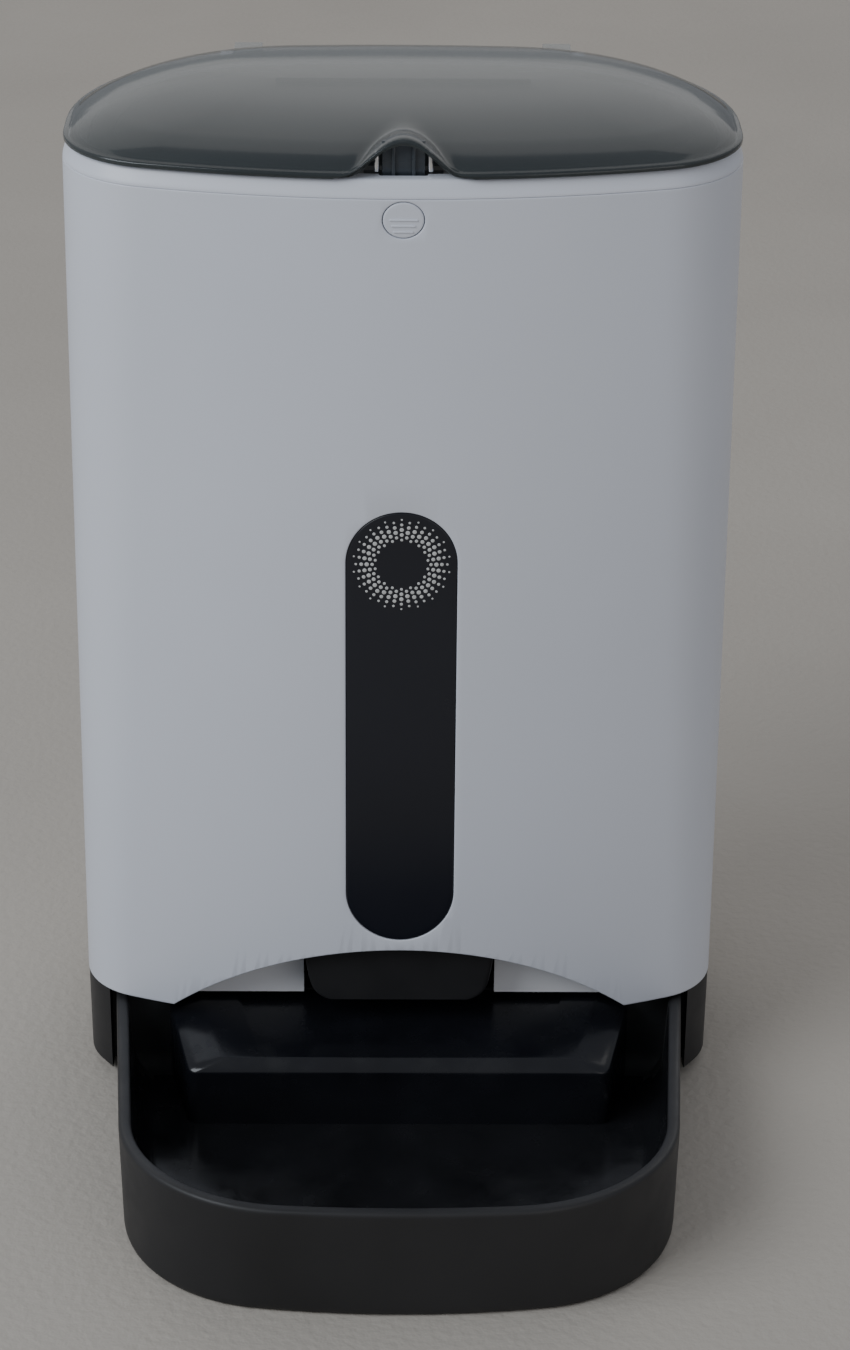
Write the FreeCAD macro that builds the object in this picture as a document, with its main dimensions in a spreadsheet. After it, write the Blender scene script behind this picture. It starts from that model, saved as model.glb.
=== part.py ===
"""Automatic pet feeder: white housing, clear domed lid, pull-out tray, portion rotor and gear drive.

Frame: +Z up, X across, -Y towards the tray. The origin is on the ground under the middle of the feeder.
"""
import FreeCAD, Part
import math
import os
import re

import Sketcher
from FreeCAD import Placement, Rotation, Vector
from fcgear import fcgear, involute

SIZES = {
    # housing outline, given at its foot and at its top edge
    "housing_foot": 37.5, "housing_top": 345, "rim_top": 351, "housing_wall": 2.6,
    "half_foot": 114.4, "half_top": 113.8,
    "front_foot": -13, "front_top": -3.2,
    "rear_foot": 137.5, "rear_top": 134.8,
    "bow_foot": 267, "bow_top": 336,
    "corner_foot": 26, "corner_top": 36,
    "back_bow": 600, "back_corner_foot": 62, "back_corner_top": 80,
    # arch over the tray
    "arch_radius": 125.4, "arch_centre": -57.8,
    # front panel
    "panel_half": 18.8, "panel_low": 72, "panel_high": 235.6, "panel_thick": 2.2,
    "panel_gap": 0.2, "panel_lip": 3, "panel_lip_thick": 1.6,
    # lid
    "lid_low": 351.5, "lid_wall": 2.2, "hinge_level": 348, "hinge_y": 138.5, "pin_radius": 1.5,
    "knuckle_radius": 3, "knuckle_x": 50, "knuckle_wide": 10, "ear_wide": 4.6, "hinge_gap": 0.35,
    "arm_thick": 1.8, "arch_half": 20.5, "arch_rise": 12.6, "arch_reach": 40,
    "gasket_wide": 2.6, "gasket_tall": 1.8,
    "latch_half": 7, "prop_x": 8.8, "prop_radius": 1.1,
    # release button
    "button_level": 338, "button_wide": 13.5, "button_tall": 12, "button_gap": 0.25,
    "spring_radius": 3, "spring_wire": 0.35, "spring_turns": 4,
    # hopper
    "tank_top": 349, "tank_half": 99, "tank_front": 12.5, "tank_rear": 122,
    "tank_corner": 32, "tank_back_corner": 66, "tank_knee": 205, "tank_wall": 2,
    "throat_top": 126, "throat_half": 49,
    # rotor, on the drive axis
    "drive_y": 72, "cup_radius": 50, "cup_low": 95, "cup_wall": 2.2,
    "hub_radius": 13, "vane_radius": 46, "vane_thick": 2.4, "vane_low": 98.2, "vane_high": 121,
    "shaft_radius": 4, "running_gap": 0.06,
    # gear train
    "gear_module": 1, "wheel_teeth": 60, "idler_teeth": 45, "pinion_teeth": 15, "mesh_gap": 0.12,
    "upper_level": 76, "upper_thick": 8, "lower_level": 67, "lower_thick": 6, "idler_bore": 2,
    "plate_low": 62, "plate_thick": 2, "motor_angle": 30, "motor_radius": 13.8, "motor_low": 32,
    "motor_screw_x": 8.5,
    # deck
    "deck_low": 88, "deck_thick": 3, "post_size": 5,
    # chute
    "chute_half_top": 34, "chute_half_low": 32.6, "chute_front": -5.5, "chute_back": 15,
    "chute_low": 43, "chute_knee": 68, "chute_top_front": 22, "chute_top_back": 55, "chute_wall": 2,
    "chute_corner": 6,
    # inner front panel
    "apron_y": 9, "apron_thick": 2.2, "apron_half": 92, "apron_low": 37.6, "apron_high": 74,
    # base
    "base_low": 1.6, "base_wall": 2.6, "base_inset": 0.2, "base_round": 2.8,
    "bay_half": 105.4, "bay_back": 21,
    "foot_radius": 7, "post_x": 96, "post_front": 36, "post_rear": 94, "boss_top": 9,
    # battery bay
    "cell_radius": 16.6, "cell_long": 61.5, "cell_pitch": 33.6, "cell_x": -53.6, "cell_front": 63.5,
    "door_half": 51.5, "door_x": -20, "door_thick": 1.4, "door_front": 59, "door_gap": 0.4, "door_rail": 2,
    "rail_thick": 0.8,
    # tray
    "tray_rear": 19, "tray_front": -137.5, "tray_half_rear": 104.1, "tray_foot_half": 102.9,
    "tray_flare": 4.43, "tray_corner": 63, "tray_bow": 560, "tray_foot_corner": 54, "tray_foot_bow": 330,
    "tray_foot_front": -135.6, "tray_wall": 5, "tray_floor": 3, "tray_lip": 42.6, "tray_slope": 2.6,
    "ramp_rear_half": 71, "ramp_front_half": 63, "ramp_bevel": 11, "ramp_back_level": 35.4,
    "ramp_front_level": 29, "ramp_front": -22, "ramp_nose": 6,
    # electronics
    "speaker_level": 216.8, "speaker_radius": 17, "board_low": 88, "board_high": 188, "board_half": 16,
    "board_y": -1.5, "board_thick": 1.6,
    "key_level": 72, "key_x": 14, "key_radius": 5, "key_gap": 0.25,
    "jack_x": 58, "jack_level": 21, "jack_radius": 5.5, "jack_front": 120,
}

doc = FreeCAD.newDocument("PetFeeder")
sheet = doc.addObject("Spreadsheet::Sheet", "Sizes")
for row, (alias, number) in enumerate(SIZES.items(), start=1):
    sheet.set(f"A{row}", alias)
    sheet.set(f"B{row}", str(number))
    sheet.setAlias(f"B{row}", alias)
doc.recompute()

parts = []


def ref(text):
    """Write an expression with plain size names as one that reads the spreadsheet."""
    return re.sub(r"[a-z][a-z_]+[a-z]", lambda word: named(word.group(0)), str(text))


def named(word):
    return f"Sizes.{word}" if word in SIZES else word


def bind(item, **expressions):
    """Bind properties of an object to expressions of the sizes."""
    for name, text in expressions.items():
        item.setExpression(name.replace("__", "."), ref(text))


def value(text):
    """The present number of an expression of the sizes."""
    result = sheet.evalExpression(ref(text))
    return float(getattr(result, "Value", result))


def place(item, x=0, y=0, z=0, turn=None):
    """Bind an object's position, after an optional turn given as (axis, degrees)."""
    if turn:
        item.Placement = Placement(Vector(), Rotation(Vector(*turn[0]), turn[1]))
    bind(item, Placement__Base__x=x, Placement__Base__y=y, Placement__Base__z=z)
    return item


ALONG_Y = ((1, 0, 0), -90)
ALONG_X = ((0, 1, 0), 90)


def keep(item, label):
    """Give a finished sub-part its own label and list it for the files."""
    item.Label = label
    parts.append(item)
    return item


def box(name, x, y, z, wide, deep, tall, turn=None):
    """A block centred on x, from y backwards and from z upwards."""
    item = doc.addObject("Part::Box", name)
    bind(item, Length=wide, Width=deep, Height=tall)
    return place(item, f"({x}) - ({wide}) / 2", y, z, turn)


def cylinder(name, x, y, z, radius, tall, turn=None):
    item = doc.addObject("Part::Cylinder", name)
    bind(item, Radius=radius, Height=tall)
    return place(item, x, y, z, turn)


def cut(name, base, *tools):
    item = doc.addObject("Part::Cut", name)
    item.Base = base
    item.Tool = tools[0] if len(tools) == 1 else fuse(name + "_tool", *tools)
    return item


def fuse(name, *pieces):
    item = doc.addObject("Part::MultiFuse", name)
    item.Shapes = list(pieces)
    item.Refine = True
    return item


def common(name, *pieces):
    item = doc.addObject("Part::MultiCommon", name)
    item.Shapes = list(pieces)
    return item


def group(name, *pieces):
    """Separate solids that share one node."""
    item = doc.addObject("Part::Compound", name)
    item.Links = list(pieces)
    return item


def loft(name, *outlines):
    item = doc.addObject("Part::Loft", name)
    item.Sections = list(outlines)
    item.Solid = True
    item.Ruled = True
    return item


def extrude(name, profile, direction, length):
    item = doc.addObject("Part::Extrusion", name)
    item.Base = profile
    item.DirMode = "Custom"
    item.Dir = Vector(*direction)
    item.Solid = True
    bind(item, LengthFwd=length)
    return item


def polygon(name, points, x=0, y=0, z=0, turn=None):
    """Closed sketch through points given as pairs of expressions, each bound to its own distances."""
    sketch = doc.addObject("Sketcher::SketchObject", name)
    numbers = [Vector(value(u), value(v), 0) for u, v in points]
    count = len(points)
    for n in range(count):
        sketch.addGeometry(Part.LineSegment(numbers[n], numbers[(n + 1) % count]), False)
    for n in range(count):
        sketch.addConstraint(Sketcher.Constraint("Coincident", n, 2, (n + 1) % count, 1))
    for n, (u, v) in enumerate(points):
        for kind, text, number in (("DistanceX", u, numbers[n].x), ("DistanceY", v, numbers[n].y)):
            tie = sketch.addConstraint(Sketcher.Constraint(kind, -1, 1, n, 1, number))
            sketch.setExpression(f"Constraints[{tie}]", ref(text))
    place(sketch, x, y, z, turn)
    return sketch


def tie(sketch, text, kind, *where):
    """Add one driving constraint and bind it."""
    index = sketch.addConstraint(Sketcher.Constraint(kind, *where, value(text)))
    sketch.setExpression(f"Constraints[{index}]", ref(text))


def outline(name, z, half, front, rear, bow, corner, back_bow, back_corner):
    """Closed plan of the housing: bowed front and back, round corners and straight sides, all tangent."""
    sketch = doc.addObject("Sketcher::SketchObject", name)
    a, yf, yr, rf, rc, rb, rk = (value(t) for t in (half, front, rear, bow, corner, back_bow, back_corner))
    front_mid = yf + rf
    back_mid = yr - rb
    corner_y = front_mid - math.sqrt((rf - rc) ** 2 - (a - rc) ** 2)
    back_y = back_mid + math.sqrt((rb - rk) ** 2 - (a - rk) ** 2)
    turn_front = math.atan2(corner_y - front_mid, a - rc)
    turn_back = math.atan2(back_y - back_mid, a - rk)

    def arc(x, y, radius, start, end):
        circle = Part.Circle(Vector(x, y, 0), Vector(0, 0, 1), radius)
        return Part.ArcOfCircle(circle, start, end)

    sketch.addGeometry([
        arc(0, front_mid, rf, -math.pi - turn_front, turn_front),
        arc(a - rc, corner_y, rc, turn_front, 0),
        Part.LineSegment(Vector(a, corner_y, 0), Vector(a, back_y, 0)),
        arc(a - rk, back_y, rk, 0, turn_back),
        arc(0, back_mid, rb, turn_back, math.pi - turn_back),
        arc(rk - a, back_y, rk, math.pi - turn_back, math.pi),
        Part.LineSegment(Vector(-a, back_y, 0), Vector(-a, corner_y, 0)),
        arc(rc - a, corner_y, rc, math.pi, math.pi - turn_front),
    ], False)
    for n in range(8):
        sketch.addConstraint(Sketcher.Constraint("Tangent", n, 2, (n + 1) % 8, 1))
    sketch.addConstraint(Sketcher.Constraint("PointOnObject", 0, 3, -2))
    sketch.addConstraint(Sketcher.Constraint("PointOnObject", 4, 3, -2))
    sketch.addConstraint(Sketcher.Constraint("Vertical", 2))
    sketch.addConstraint(Sketcher.Constraint("Vertical", 6))
    sketch.addConstraint(Sketcher.Constraint("Equal", 1, 7))
    sketch.addConstraint(Sketcher.Constraint("Equal", 3, 5))
    tie(sketch, bow, "Radius", 0)
    tie(sketch, corner, "Radius", 1)
    tie(sketch, back_corner, "Radius", 3)
    tie(sketch, back_bow, "Radius", 4)
    tie(sketch, half, "DistanceX", -1, 1, 2, 1)
    tie(sketch, half, "DistanceX", 6, 1, -1, 1)
    tie(sketch, f"({front}) + ({bow})", "DistanceY", -1, 1, 0, 3)
    tie(sketch, f"({rear}) - ({back_bow})", "DistanceY", -1, 1, 4, 3)
    return place(sketch, 0, 0, z)


def housing_plan(name, level, z, inset):
    """The housing's plan at its foot or top, moved inwards by inset."""
    return outline(
        name, z, f"half_{level} - ({inset})", f"front_{level} + ({inset})", f"rear_{level} - ({inset})",
        f"bow_{level} - ({inset})", f"corner_{level} - ({inset})", f"back_bow - ({inset})",
        f"back_corner_{level} - ({inset})")


def housing_solid(name, inset, low="housing_foot", high="housing_top"):
    """Solid inside the housing's outer surface, inset all round, between two levels."""
    foot = housing_plan(name + "_foot", "foot", low, inset)
    top = housing_plan(name + "_top", "top", high, inset)
    return loft(name, foot, top)


def pill(name, grow, y, deep):
    """Upright slot-shaped prism for the front panel."""
    radius = f"panel_half + ({grow})"
    low = "panel_low + panel_half"
    high = "panel_high - panel_half"
    return fuse(
        name,
        box(name + "_bar", 0, y, low, f"2 * ({radius})", deep, f"({high}) - ({low})"),
        cylinder(name + "_low", 0, y, low, radius, deep, ALONG_Y),
        cylinder(name + "_high", 0, y, high, radius, deep, ALONG_Y))


# ---------------------------------------------------------------- housing
outer = housing_solid("housing_outer", "0")
inner = housing_solid("housing_inner", "housing_wall")
button_hole = fuse(
    "button_hole",
    cylinder("button_hole_left", "(button_tall - button_wide) / 2", -20, "button_level",
             "button_tall / 2 + button_gap", 30, ALONG_Y),
    cylinder("button_hole_right", "(button_wide - button_tall) / 2", -20, "button_level",
             "button_tall / 2 + button_gap", 30, ALONG_Y))
key_holes = [
    cylinder(f"key_hole_{n}", f"{side} * key_x", 125, "key_level", "key_radius + key_gap", 30, ALONG_Y)
    for n, side in enumerate((-1, 1))]
keep(cut(
    "HousingShell", outer, inner,
    cylinder("arch_tool", 0, -30, "arch_centre", "arch_radius", 35, ALONG_Y),
    pill("panel_hole", "panel_gap", -25, 35), button_hole, *key_holes), "housing_shell")

# front panel: a face flush with the housing and a lip behind its edge
panel_face = common(
    "panel_face", pill("panel_prism", "0", -25, 40),
    cut("panel_skin", housing_solid("panel_outer", "0"), housing_solid("panel_back", "panel_thick + 1")))
panel_lip = common(
    "panel_lip_ring", pill("lip_prism", "panel_lip", -25, 40),
    cut("lip_skin", housing_solid("lip_outer", "housing_wall + 0.2"),
        housing_solid("lip_back", "housing_wall + 0.2 + panel_lip_thick")))
keep(fuse("FrontPanel", panel_face, panel_lip), "front_panel")

# ---------------------------------------------------------------- top rim
rim_block = loft(
    "rim_block", housing_plan("rim_low", "top", "housing_top + 0.05", "0"),
    housing_plan("rim_mid", "top", "rim_top - 2.6", "0.3"),
    housing_plan("rim_high", "top", "rim_top", "2.4"))
rim_skirt = loft(
    "rim_skirt", housing_plan("skirt_low", "top", "housing_top - 5", "housing_wall + 0.5"),
    housing_plan("skirt_high", "top", "housing_top + 0.1", "housing_wall + 0.3"))
rim_bore = loft(
    "rim_bore", housing_plan("rim_bore_low", "top", "housing_top - 6", "housing_wall + 3"),
    housing_plan("rim_bore_high", "top", "housing_top + 1", "housing_wall + 3"))
rim_mouth = loft(
    "rim_mouth", housing_plan("rim_mouth_low", "top", "housing_top - 6", "12"),
    housing_plan("rim_mouth_high", "top", "rim_top + 1", "12"))
rim_seat = loft(
    "rim_seat", housing_plan("rim_seat_low", "top", "rim_top - 2.5", "8.5"),
    housing_plan("rim_seat_high", "top", "rim_top + 1", "8.5"))
ears = []
for n, side in enumerate((-1, 1)):
    for m, shift in enumerate((-1, 1)):
        ear_x = (f"{side} * (knuckle_x + knuckle_wide / 2)"
                 f" + {shift} * (knuckle_wide / 2 + hinge_gap + ear_wide / 2)")
        ears.append(box(f"ear_{n}{m}", ear_x, "hinge_y - 7", "hinge_level - 2.8", "ear_wide", 7, 5.6))
        ears.append(cylinder(f"ear_head_{n}{m}", f"({ear_x}) - ear_wide / 2", "hinge_y", "hinge_level",
                             "knuckle_radius", "ear_wide", ALONG_X))
pin_holes = [
    cylinder(f"pin_hole_{n}", f"{side} * (knuckle_x + knuckle_wide / 2) - 15", "hinge_y", "hinge_level",
             "pin_radius", 30, ALONG_X) for n, side in enumerate((-1, 1))]
keep(cut(
    "TopRim", fuse("rim_solid", rim_block, rim_skirt, *ears), rim_bore, rim_mouth, rim_seat,
    box("latch_slot", 0, 0.8, "housing_top - 8", 24, 9, 20),
    box("skirt_gap", 0, -2, "housing_top - 8", 36, 9, 8), *pin_holes), "top_rim")

keep(group("HingePins", *[
    cylinder(f"hinge_pin_{n}", f"{side} * (knuckle_x + knuckle_wide / 2) - knuckle_wide / 2 - 5",
             "hinge_y", "hinge_level", "pin_radius - 0.02", "knuckle_wide + 10", ALONG_X)
    for n, side in enumerate((-1, 1))]), "hinge_pins")

# ---------------------------------------------------------------- lid
def lid_plan(name, z, inset, corner, back_corner):
    return outline(
        name, z, f"half_top - ({inset})", f"front_top + ({inset})", f"rear_top - ({inset})",
        f"bow_top - ({inset})", corner, f"back_bow - ({inset})", back_corner)


LID_RINGS = (  # height over the lid's edge, inset, front corner radius, rear corner radius
    (0, 0.4, 36, 79), (3, 0.8, 36, 79), (6, 5, 34, 75), (9, 14, 32, 64), (12.6, 34, 26, 30))


def lid_dome(name, drop):
    """Dome through rings of the lid, lowered and pulled in by drop."""
    rings = []
    for n, (tall, inset, corner, back) in enumerate(LID_RINGS):
        below = 0.3 if n == 0 and drop else 0
        lowered = drop if n > 1 else 0
        narrowed = drop if n < len(LID_RINGS) - 1 else 0
        rings.append(lid_plan(f"{name}_{n}", f"lid_low + {tall} - {below} - {lowered}",
                              f"{inset} + {narrowed}", f"{corner} - {drop}", f"{back} - {drop}"))
    return loft(name, *rings)


def lid_arch(name, shrink, y, deep):
    """Half-elliptic tunnel for the fingers, rising from the lid's front edge."""
    tunnel = doc.addObject("Part::Ellipse", name + "_curve")
    bind(tunnel, MajorRadius=f"arch_half - ({shrink})", MinorRadius=f"arch_rise - ({shrink})")
    place(tunnel, 0, y, "lid_low", ((1, 0, 0), 90))
    return extrude(name, tunnel, (0, 1, 0), deep)


lid_solid = fuse(
    "lid_solid", lid_dome("lid_outer", 0),
    common("arch_outer", lid_arch("arch_bump", "0", "front_top + 1.2", "arch_reach"),
           box("above_edge", 0, -20, "lid_low", 100, 100, 30)))


lid_shell = cut(
    "Lid", lid_solid, lid_dome("lid_inner", value("lid_wall")),
    lid_arch("arch_hollow", "2", "front_top - 10", "arch_reach + 9"))
keep(lid_shell, "lid")

# arms that reach from the lid's underside over the rim's rear edge to the hinge pins
hinge_arms = []
for n, side in enumerate((-1, 1)):
    middle = f"{side} * (knuckle_x + knuckle_wide / 2)"
    arm = fuse(
        f"hinge_arm_{n}",
        cylinder(f"knuckle_{n}", f"({middle}) - knuckle_wide / 2", "hinge_y", "hinge_level",
                 "knuckle_radius", "knuckle_wide", ALONG_X),
        box(f"arm_drop_{n}", middle, "hinge_y - 2", "hinge_level", "knuckle_wide", "knuckle_radius + 2",
            "lid_low + arm_thick - hinge_level"),
        cut(f"arm_bar_{n}",
            box(f"arm_reach_{n}", middle, "hinge_y - 14", "lid_low", "knuckle_wide", 13, "arm_thick"),
            loft(f"arm_trim_{n}", lid_plan(f"arm_trim_low_{n}", "lid_low - 1", "0.38", "36", "79"),
                 lid_plan(f"arm_trim_high_{n}", "lid_low + 5", "0.38", "36", "79"))))
    hinge_arms.append(cut(
        f"bored_arm_{n}", arm, cylinder(f"arm_bore_{n}", f"({middle}) - 15", "hinge_y", "hinge_level",
                                        "pin_radius + 0.04", 30, ALONG_X)))
keep(group("HingeArms", *hinge_arms), "hinge_arms")

gasket_outer = loft(
    "gasket_outer", lid_plan("gasket_a", "lid_low - 0.3", "2.9", "34", "77"),
    lid_plan("gasket_b", "lid_low + gasket_tall - 0.3", "2.9", "34", "77"))
gasket_inner = loft(
    "gasket_inner", lid_plan("gasket_c", "lid_low - 1", "2.9 + gasket_wide", "31.2", "74.3"),
    lid_plan("gasket_d", "lid_low + gasket_tall + 1", "2.9 + gasket_wide", "31.2", "74.3"))
keep(cut(
    "LidGasket", gasket_outer, gasket_inner,
    box("gasket_gap", 0, -10, "lid_low - 5", "2 * arch_half - 2", 20, 20)), "lid_gasket")

# latch tongue that hangs from the arch, with a rib and a post on each side
tongue = box("tongue", 0, 4.6, "housing_top + 0.6", "2 * latch_half", 1.8, 16.6)
ribs = [
    box(f"tongue_rib_{n}", f"{side} * 3.3", 3.4, "housing_top + 3", 1.2, 1.4, 14)
    for n, side in enumerate((-1, 1))]
nose = box("tongue_nose", 0, 6.2, "housing_top + 0.6", "2 * latch_half - 3", 1.2, 2)
keep(fuse("LidLatch", tongue, nose, *ribs), "lid_latch")
keep(group("LatchPosts", *[
    cylinder(f"latch_post_{n}", f"{side} * prop_x", 5.4, "lid_low + 0.4", "prop_radius", "arch_rise - 3.1")
    for n, side in enumerate((-1, 1))]), "latch_posts")

# ---------------------------------------------------------------- release button
def button_slab(name, grow, y, deep):
    reach = "(button_wide - button_tall) / 2"
    radius = f"button_tall / 2 + ({grow})"
    return fuse(
        name, cylinder(name + "_a", f"-({reach})", y, "button_level", radius, deep, ALONG_Y),
        cylinder(name + "_b", reach, y, "button_level", radius, deep, ALONG_Y))


button_cap = common(
    "button_cap", button_slab("button_prism", "0", -20, 22),
    cut("button_skin", housing_solid("button_outer", "0"), housing_solid("button_back", "3.4")))
button_flange = button_slab("button_flange", "0.8", 0.1, 1.3)
button_stem = cylinder("button_stem", 0, 1, "button_level", 1.8, 3.2, ALONG_Y)
button_ribs = common(
    "button_ribs", group("rib_bars", *[
        box(f"rib_bar_{n}", 0, -20, f"button_level - 0.3 - {2 * n}", 10 - 1.4 * n, 20, 0.6)
        for n in range(3)]),
    cut("rib_skin", housing_solid("rib_outer", "-0.35"), housing_solid("rib_back", "0.5")))
keep(fuse("ReleaseButton", button_cap, button_flange, button_stem, button_ribs), "release_button")

spring_path = doc.addObject("Part::Helix", "spring_path")
bind(spring_path, Radius="spring_radius", Pitch="6.4 / spring_turns", Height=6.4)
place(spring_path, 0, 1.9, "button_level", ALONG_Y)
doc.recompute()
spring_ring = doc.addObject("Part::Circle", "spring_ring")
bind(spring_ring, Radius="spring_wire")
place(spring_ring, "spring_radius", 1.9, "button_level")
spring = doc.addObject("Part::Sweep", "ButtonSpring")
spring.Sections = [spring_ring]
spring.Spine = (spring_path, [f"Edge{n + 1}" for n in range(len(spring_path.Shape.Edges))])
spring.Solid = True
spring.Frenet = True
keep(spring, "button_spring")

bracket_wall = box("bracket_wall", 0, 8.9, "button_level - 9", 30, 1.6, "housing_top - button_level + 9")
bracket_feet = [
    box(f"bracket_foot_{n}", f"{side} * 13.6", -0.3, "button_level - 9", 2.8, 10, 15)
    for n, side in enumerate((-1, 1))]
keep(fuse("LatchBracket", bracket_wall, *bracket_feet), "latch_bracket")

# ---------------------------------------------------------------- hopper
def tank_plan(name, z, inset, half="tank_half", front="tank_front", rear="tank_rear"):
    return outline(name, z, f"{half} - ({inset})", f"{front} + ({inset})", f"{rear} - ({inset})",
                   f"300 - ({inset})", f"tank_corner - ({inset})", f"500 - ({inset})",
                   f"tank_back_corner - ({inset})")


def throat_plan(name, z, inset):
    return outline(name, z, f"throat_half - ({inset})", f"drive_y - throat_half + ({inset})",
                   f"drive_y + throat_half - ({inset})", f"120 - ({inset})", f"tank_corner - ({inset})",
                   f"120 - ({inset})", f"tank_corner - ({inset})")


tank_outer = fuse(
    "tank_outer",
    loft("tank_walls", tank_plan("tank_a", "tank_knee", "2"), tank_plan("tank_b", "tank_top", "0")),
    loft("tank_funnel", throat_plan("tank_c", "throat_top", "0"), tank_plan("tank_d", "tank_knee", "2")))
tank_hollow = fuse(
    "tank_hollow",
    loft("hollow_walls", tank_plan("hollow_a", "tank_knee", "2 + tank_wall"),
         tank_plan("hollow_b", "tank_top + 3", "tank_wall")),
    loft("hollow_funnel", throat_plan("hollow_c", "throat_top - 0.01", "tank_wall + 1"),
         tank_plan("hollow_d", "tank_knee", "2 + tank_wall")))
tank_flange = loft(
    "tank_flange", housing_plan("flange_a", "top", "rim_top - 2.3", "9"),
    housing_plan("flange_b", "top", "rim_top - 0.6", "9"))
keep(cut("Hopper", fuse("tank_body", tank_outer, tank_flange), tank_hollow,
         box("flange_slot", 0, -5, "rim_top - 5", 26, 15.5, 10)), "hopper")

# ---------------------------------------------------------------- rotor
cup_outer = cylinder("cup_outer", 0, "drive_y", "cup_low", "cup_radius", "throat_top - cup_low - 0.2")
cup_inner = cylinder("cup_inner", 0, "drive_y", "cup_low + cup_wall", "cup_radius - cup_wall", 40)
cup_bore = cylinder("cup_bore", 0, "drive_y", "cup_low - 1", "shaft_radius + 0.4", 10)
outlet = common(
    "outlet_tool", cylinder("outlet_disc", 0, "drive_y", "cup_low - 1", "cup_radius - 5", 8),
    box("outlet_block", 0, "drive_y - 60", "cup_low - 1", 52, "60 - hub_radius - 3", 8))
keep(cut("RotorHousing", cup_outer, cup_inner, cup_bore, outlet), "rotor_housing")

hub_post = cylinder("hub_post", 0, "drive_y", "vane_low", "hub_radius", "vane_high - vane_low")
hub_cap = doc.addObject("Part::Cone", "hub_cap")
bind(hub_cap, Radius1="hub_radius", Radius2=4, Height=9)
place(hub_cap, 0, "drive_y", "vane_high")
hub_bore = cylinder("hub_bore", 0, "drive_y", "vane_low - 1", "shaft_radius + 0.02", 16)
rod_hole = cylinder("rod_hole", -20, "drive_y", "vane_high + 4", 1.52, 40, ALONG_X)
keep(cut("RotorHub", fuse("hub_solid", hub_post, hub_cap), hub_bore, rod_hole), "rotor_hub")

VANES = 6
vanes = []
for n in range(VANES):
    vane = doc.addObject("Part::Box", f"vane_{n}")
    bind(vane, Length="vane_radius - hub_radius - 0.02", Width="vane_thick",
         Height="vane_high - vane_low - 1")
    angle = f"{360 / VANES * (n + 0.5)}"
    vane.Placement = Placement(Vector(), Rotation(Vector(0, 0, 1), value(angle)))
    place_x = f"(hub_radius + 0.02) * cos({angle}) + vane_thick / 2 * sin({angle})"
    place_y = f"drive_y + (hub_radius + 0.02) * sin({angle}) - vane_thick / 2 * cos({angle})"
    bind(vane, Placement__Base__x=place_x, Placement__Base__y=place_y, Placement__Base__z="vane_low + 0.5")
    vanes.append(vane)
sleeve = cut(
    "vane_sleeve",
    cylinder("sleeve_out", 0, "drive_y", "vane_low + 0.5", "hub_radius + 1.6", "vane_high - vane_low - 1"),
    cylinder("sleeve_in", 0, "drive_y", "vane_low", "hub_radius", 40))
keep(fuse("RotorVanes", sleeve, *vanes), "rotor_vanes")

rod = cylinder("stirrer_rod", -30, "drive_y", "vane_high + 4", 1.5, 60, ALONG_X)
fingers = [
    cylinder(f"stirrer_finger_{n}", f"{side} * 28.4", "drive_y", "vane_high + 4", 1.25, 22)
    for n, side in enumerate((-1, 1))]
keep(fuse("Agitator", rod, *fingers), "agitator")

keep(cylinder("DriveShaft", 0, "drive_y", "plate_low - 1", "shaft_radius", "vane_low + 14 - plate_low"),
     "drive_shaft")

# ---------------------------------------------------------------- gears
IDLER_X = "gear_module * (wheel_teeth + pinion_teeth) / 2 + mesh_gap"
MOTOR_REACH = "(gear_module * (idler_teeth + pinion_teeth) / 2 + mesh_gap)"
MOTOR_X = f"{IDLER_X} + {MOTOR_REACH} * cos(motor_angle)"
MOTOR_Y = f"drive_y + {MOTOR_REACH} * sin(motor_angle)"
PRESSURE_ANGLE = 25


def toothed(teeth, level, thick, turn):
    """Involute spur gear with its first tooth turned by an angle in degrees."""
    builder = fcgear.FCWireBuilder()
    involute.CreateExternalGear(builder, value("gear_module"), teeth, PRESSURE_ANGLE, True)
    profile = Part.Wire([curve.toShape() for curve in builder.wire])
    gear = Part.Face(profile).extrude(Vector(0, 0, value(thick)))
    gear.rotate(Vector(), Vector(0, 0, 1), turn)
    gear.translate(Vector(0, 0, value(level)))
    return gear


def bored(name, solid, x, y, bore):
    """A gear's solid with its bore, placed on its axis."""
    hole = Part.makeCylinder(bore, 60, Vector(0, 0, value("plate_low") - 5))
    item = doc.addObject("Part::Feature", name)
    item.Shape = solid.cut(hole).removeSplitter()
    return place(item, x, y, 0)


wheel_teeth = int(value("wheel_teeth"))
idler_teeth = int(value("idler_teeth"))
pinion_teeth = int(value("pinion_teeth"))
motor_angle = value("motor_angle")
web = Part.makeCylinder(value("shaft_radius") + 4, value("deck_low - upper_level - 1.5"),
                        Vector(0, 0, value("upper_level")))
keep(bored("OutputGear", toothed(wheel_teeth, "upper_level", "upper_thick", 0).fuse(web), 0, "drive_y",
           value("shaft_radius")), "output_gear")
idler_small = toothed(pinion_teeth, "lower_level + lower_thick",
                      "upper_level + upper_thick - lower_level - lower_thick", 180 + 180 / pinion_teeth)
idler_large = toothed(idler_teeth, "lower_level", "lower_thick", motor_angle)
keep(bored("IdlerGear", idler_small.fuse(idler_large), IDLER_X, "drive_y",
           value("idler_bore + running_gap")), "idler_gear")
keep(bored("MotorPinion", toothed(pinion_teeth, "lower_level - 1", "lower_thick + 2",
                                  motor_angle + 180 + 180 / pinion_teeth),
           MOTOR_X, MOTOR_Y, value("idler_bore - 0.5")), "motor_pinion")
keep(cylinder("MotorShaft", MOTOR_X, MOTOR_Y, "plate_low - 6", "idler_bore - 0.5", 18), "motor_shaft")
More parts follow.
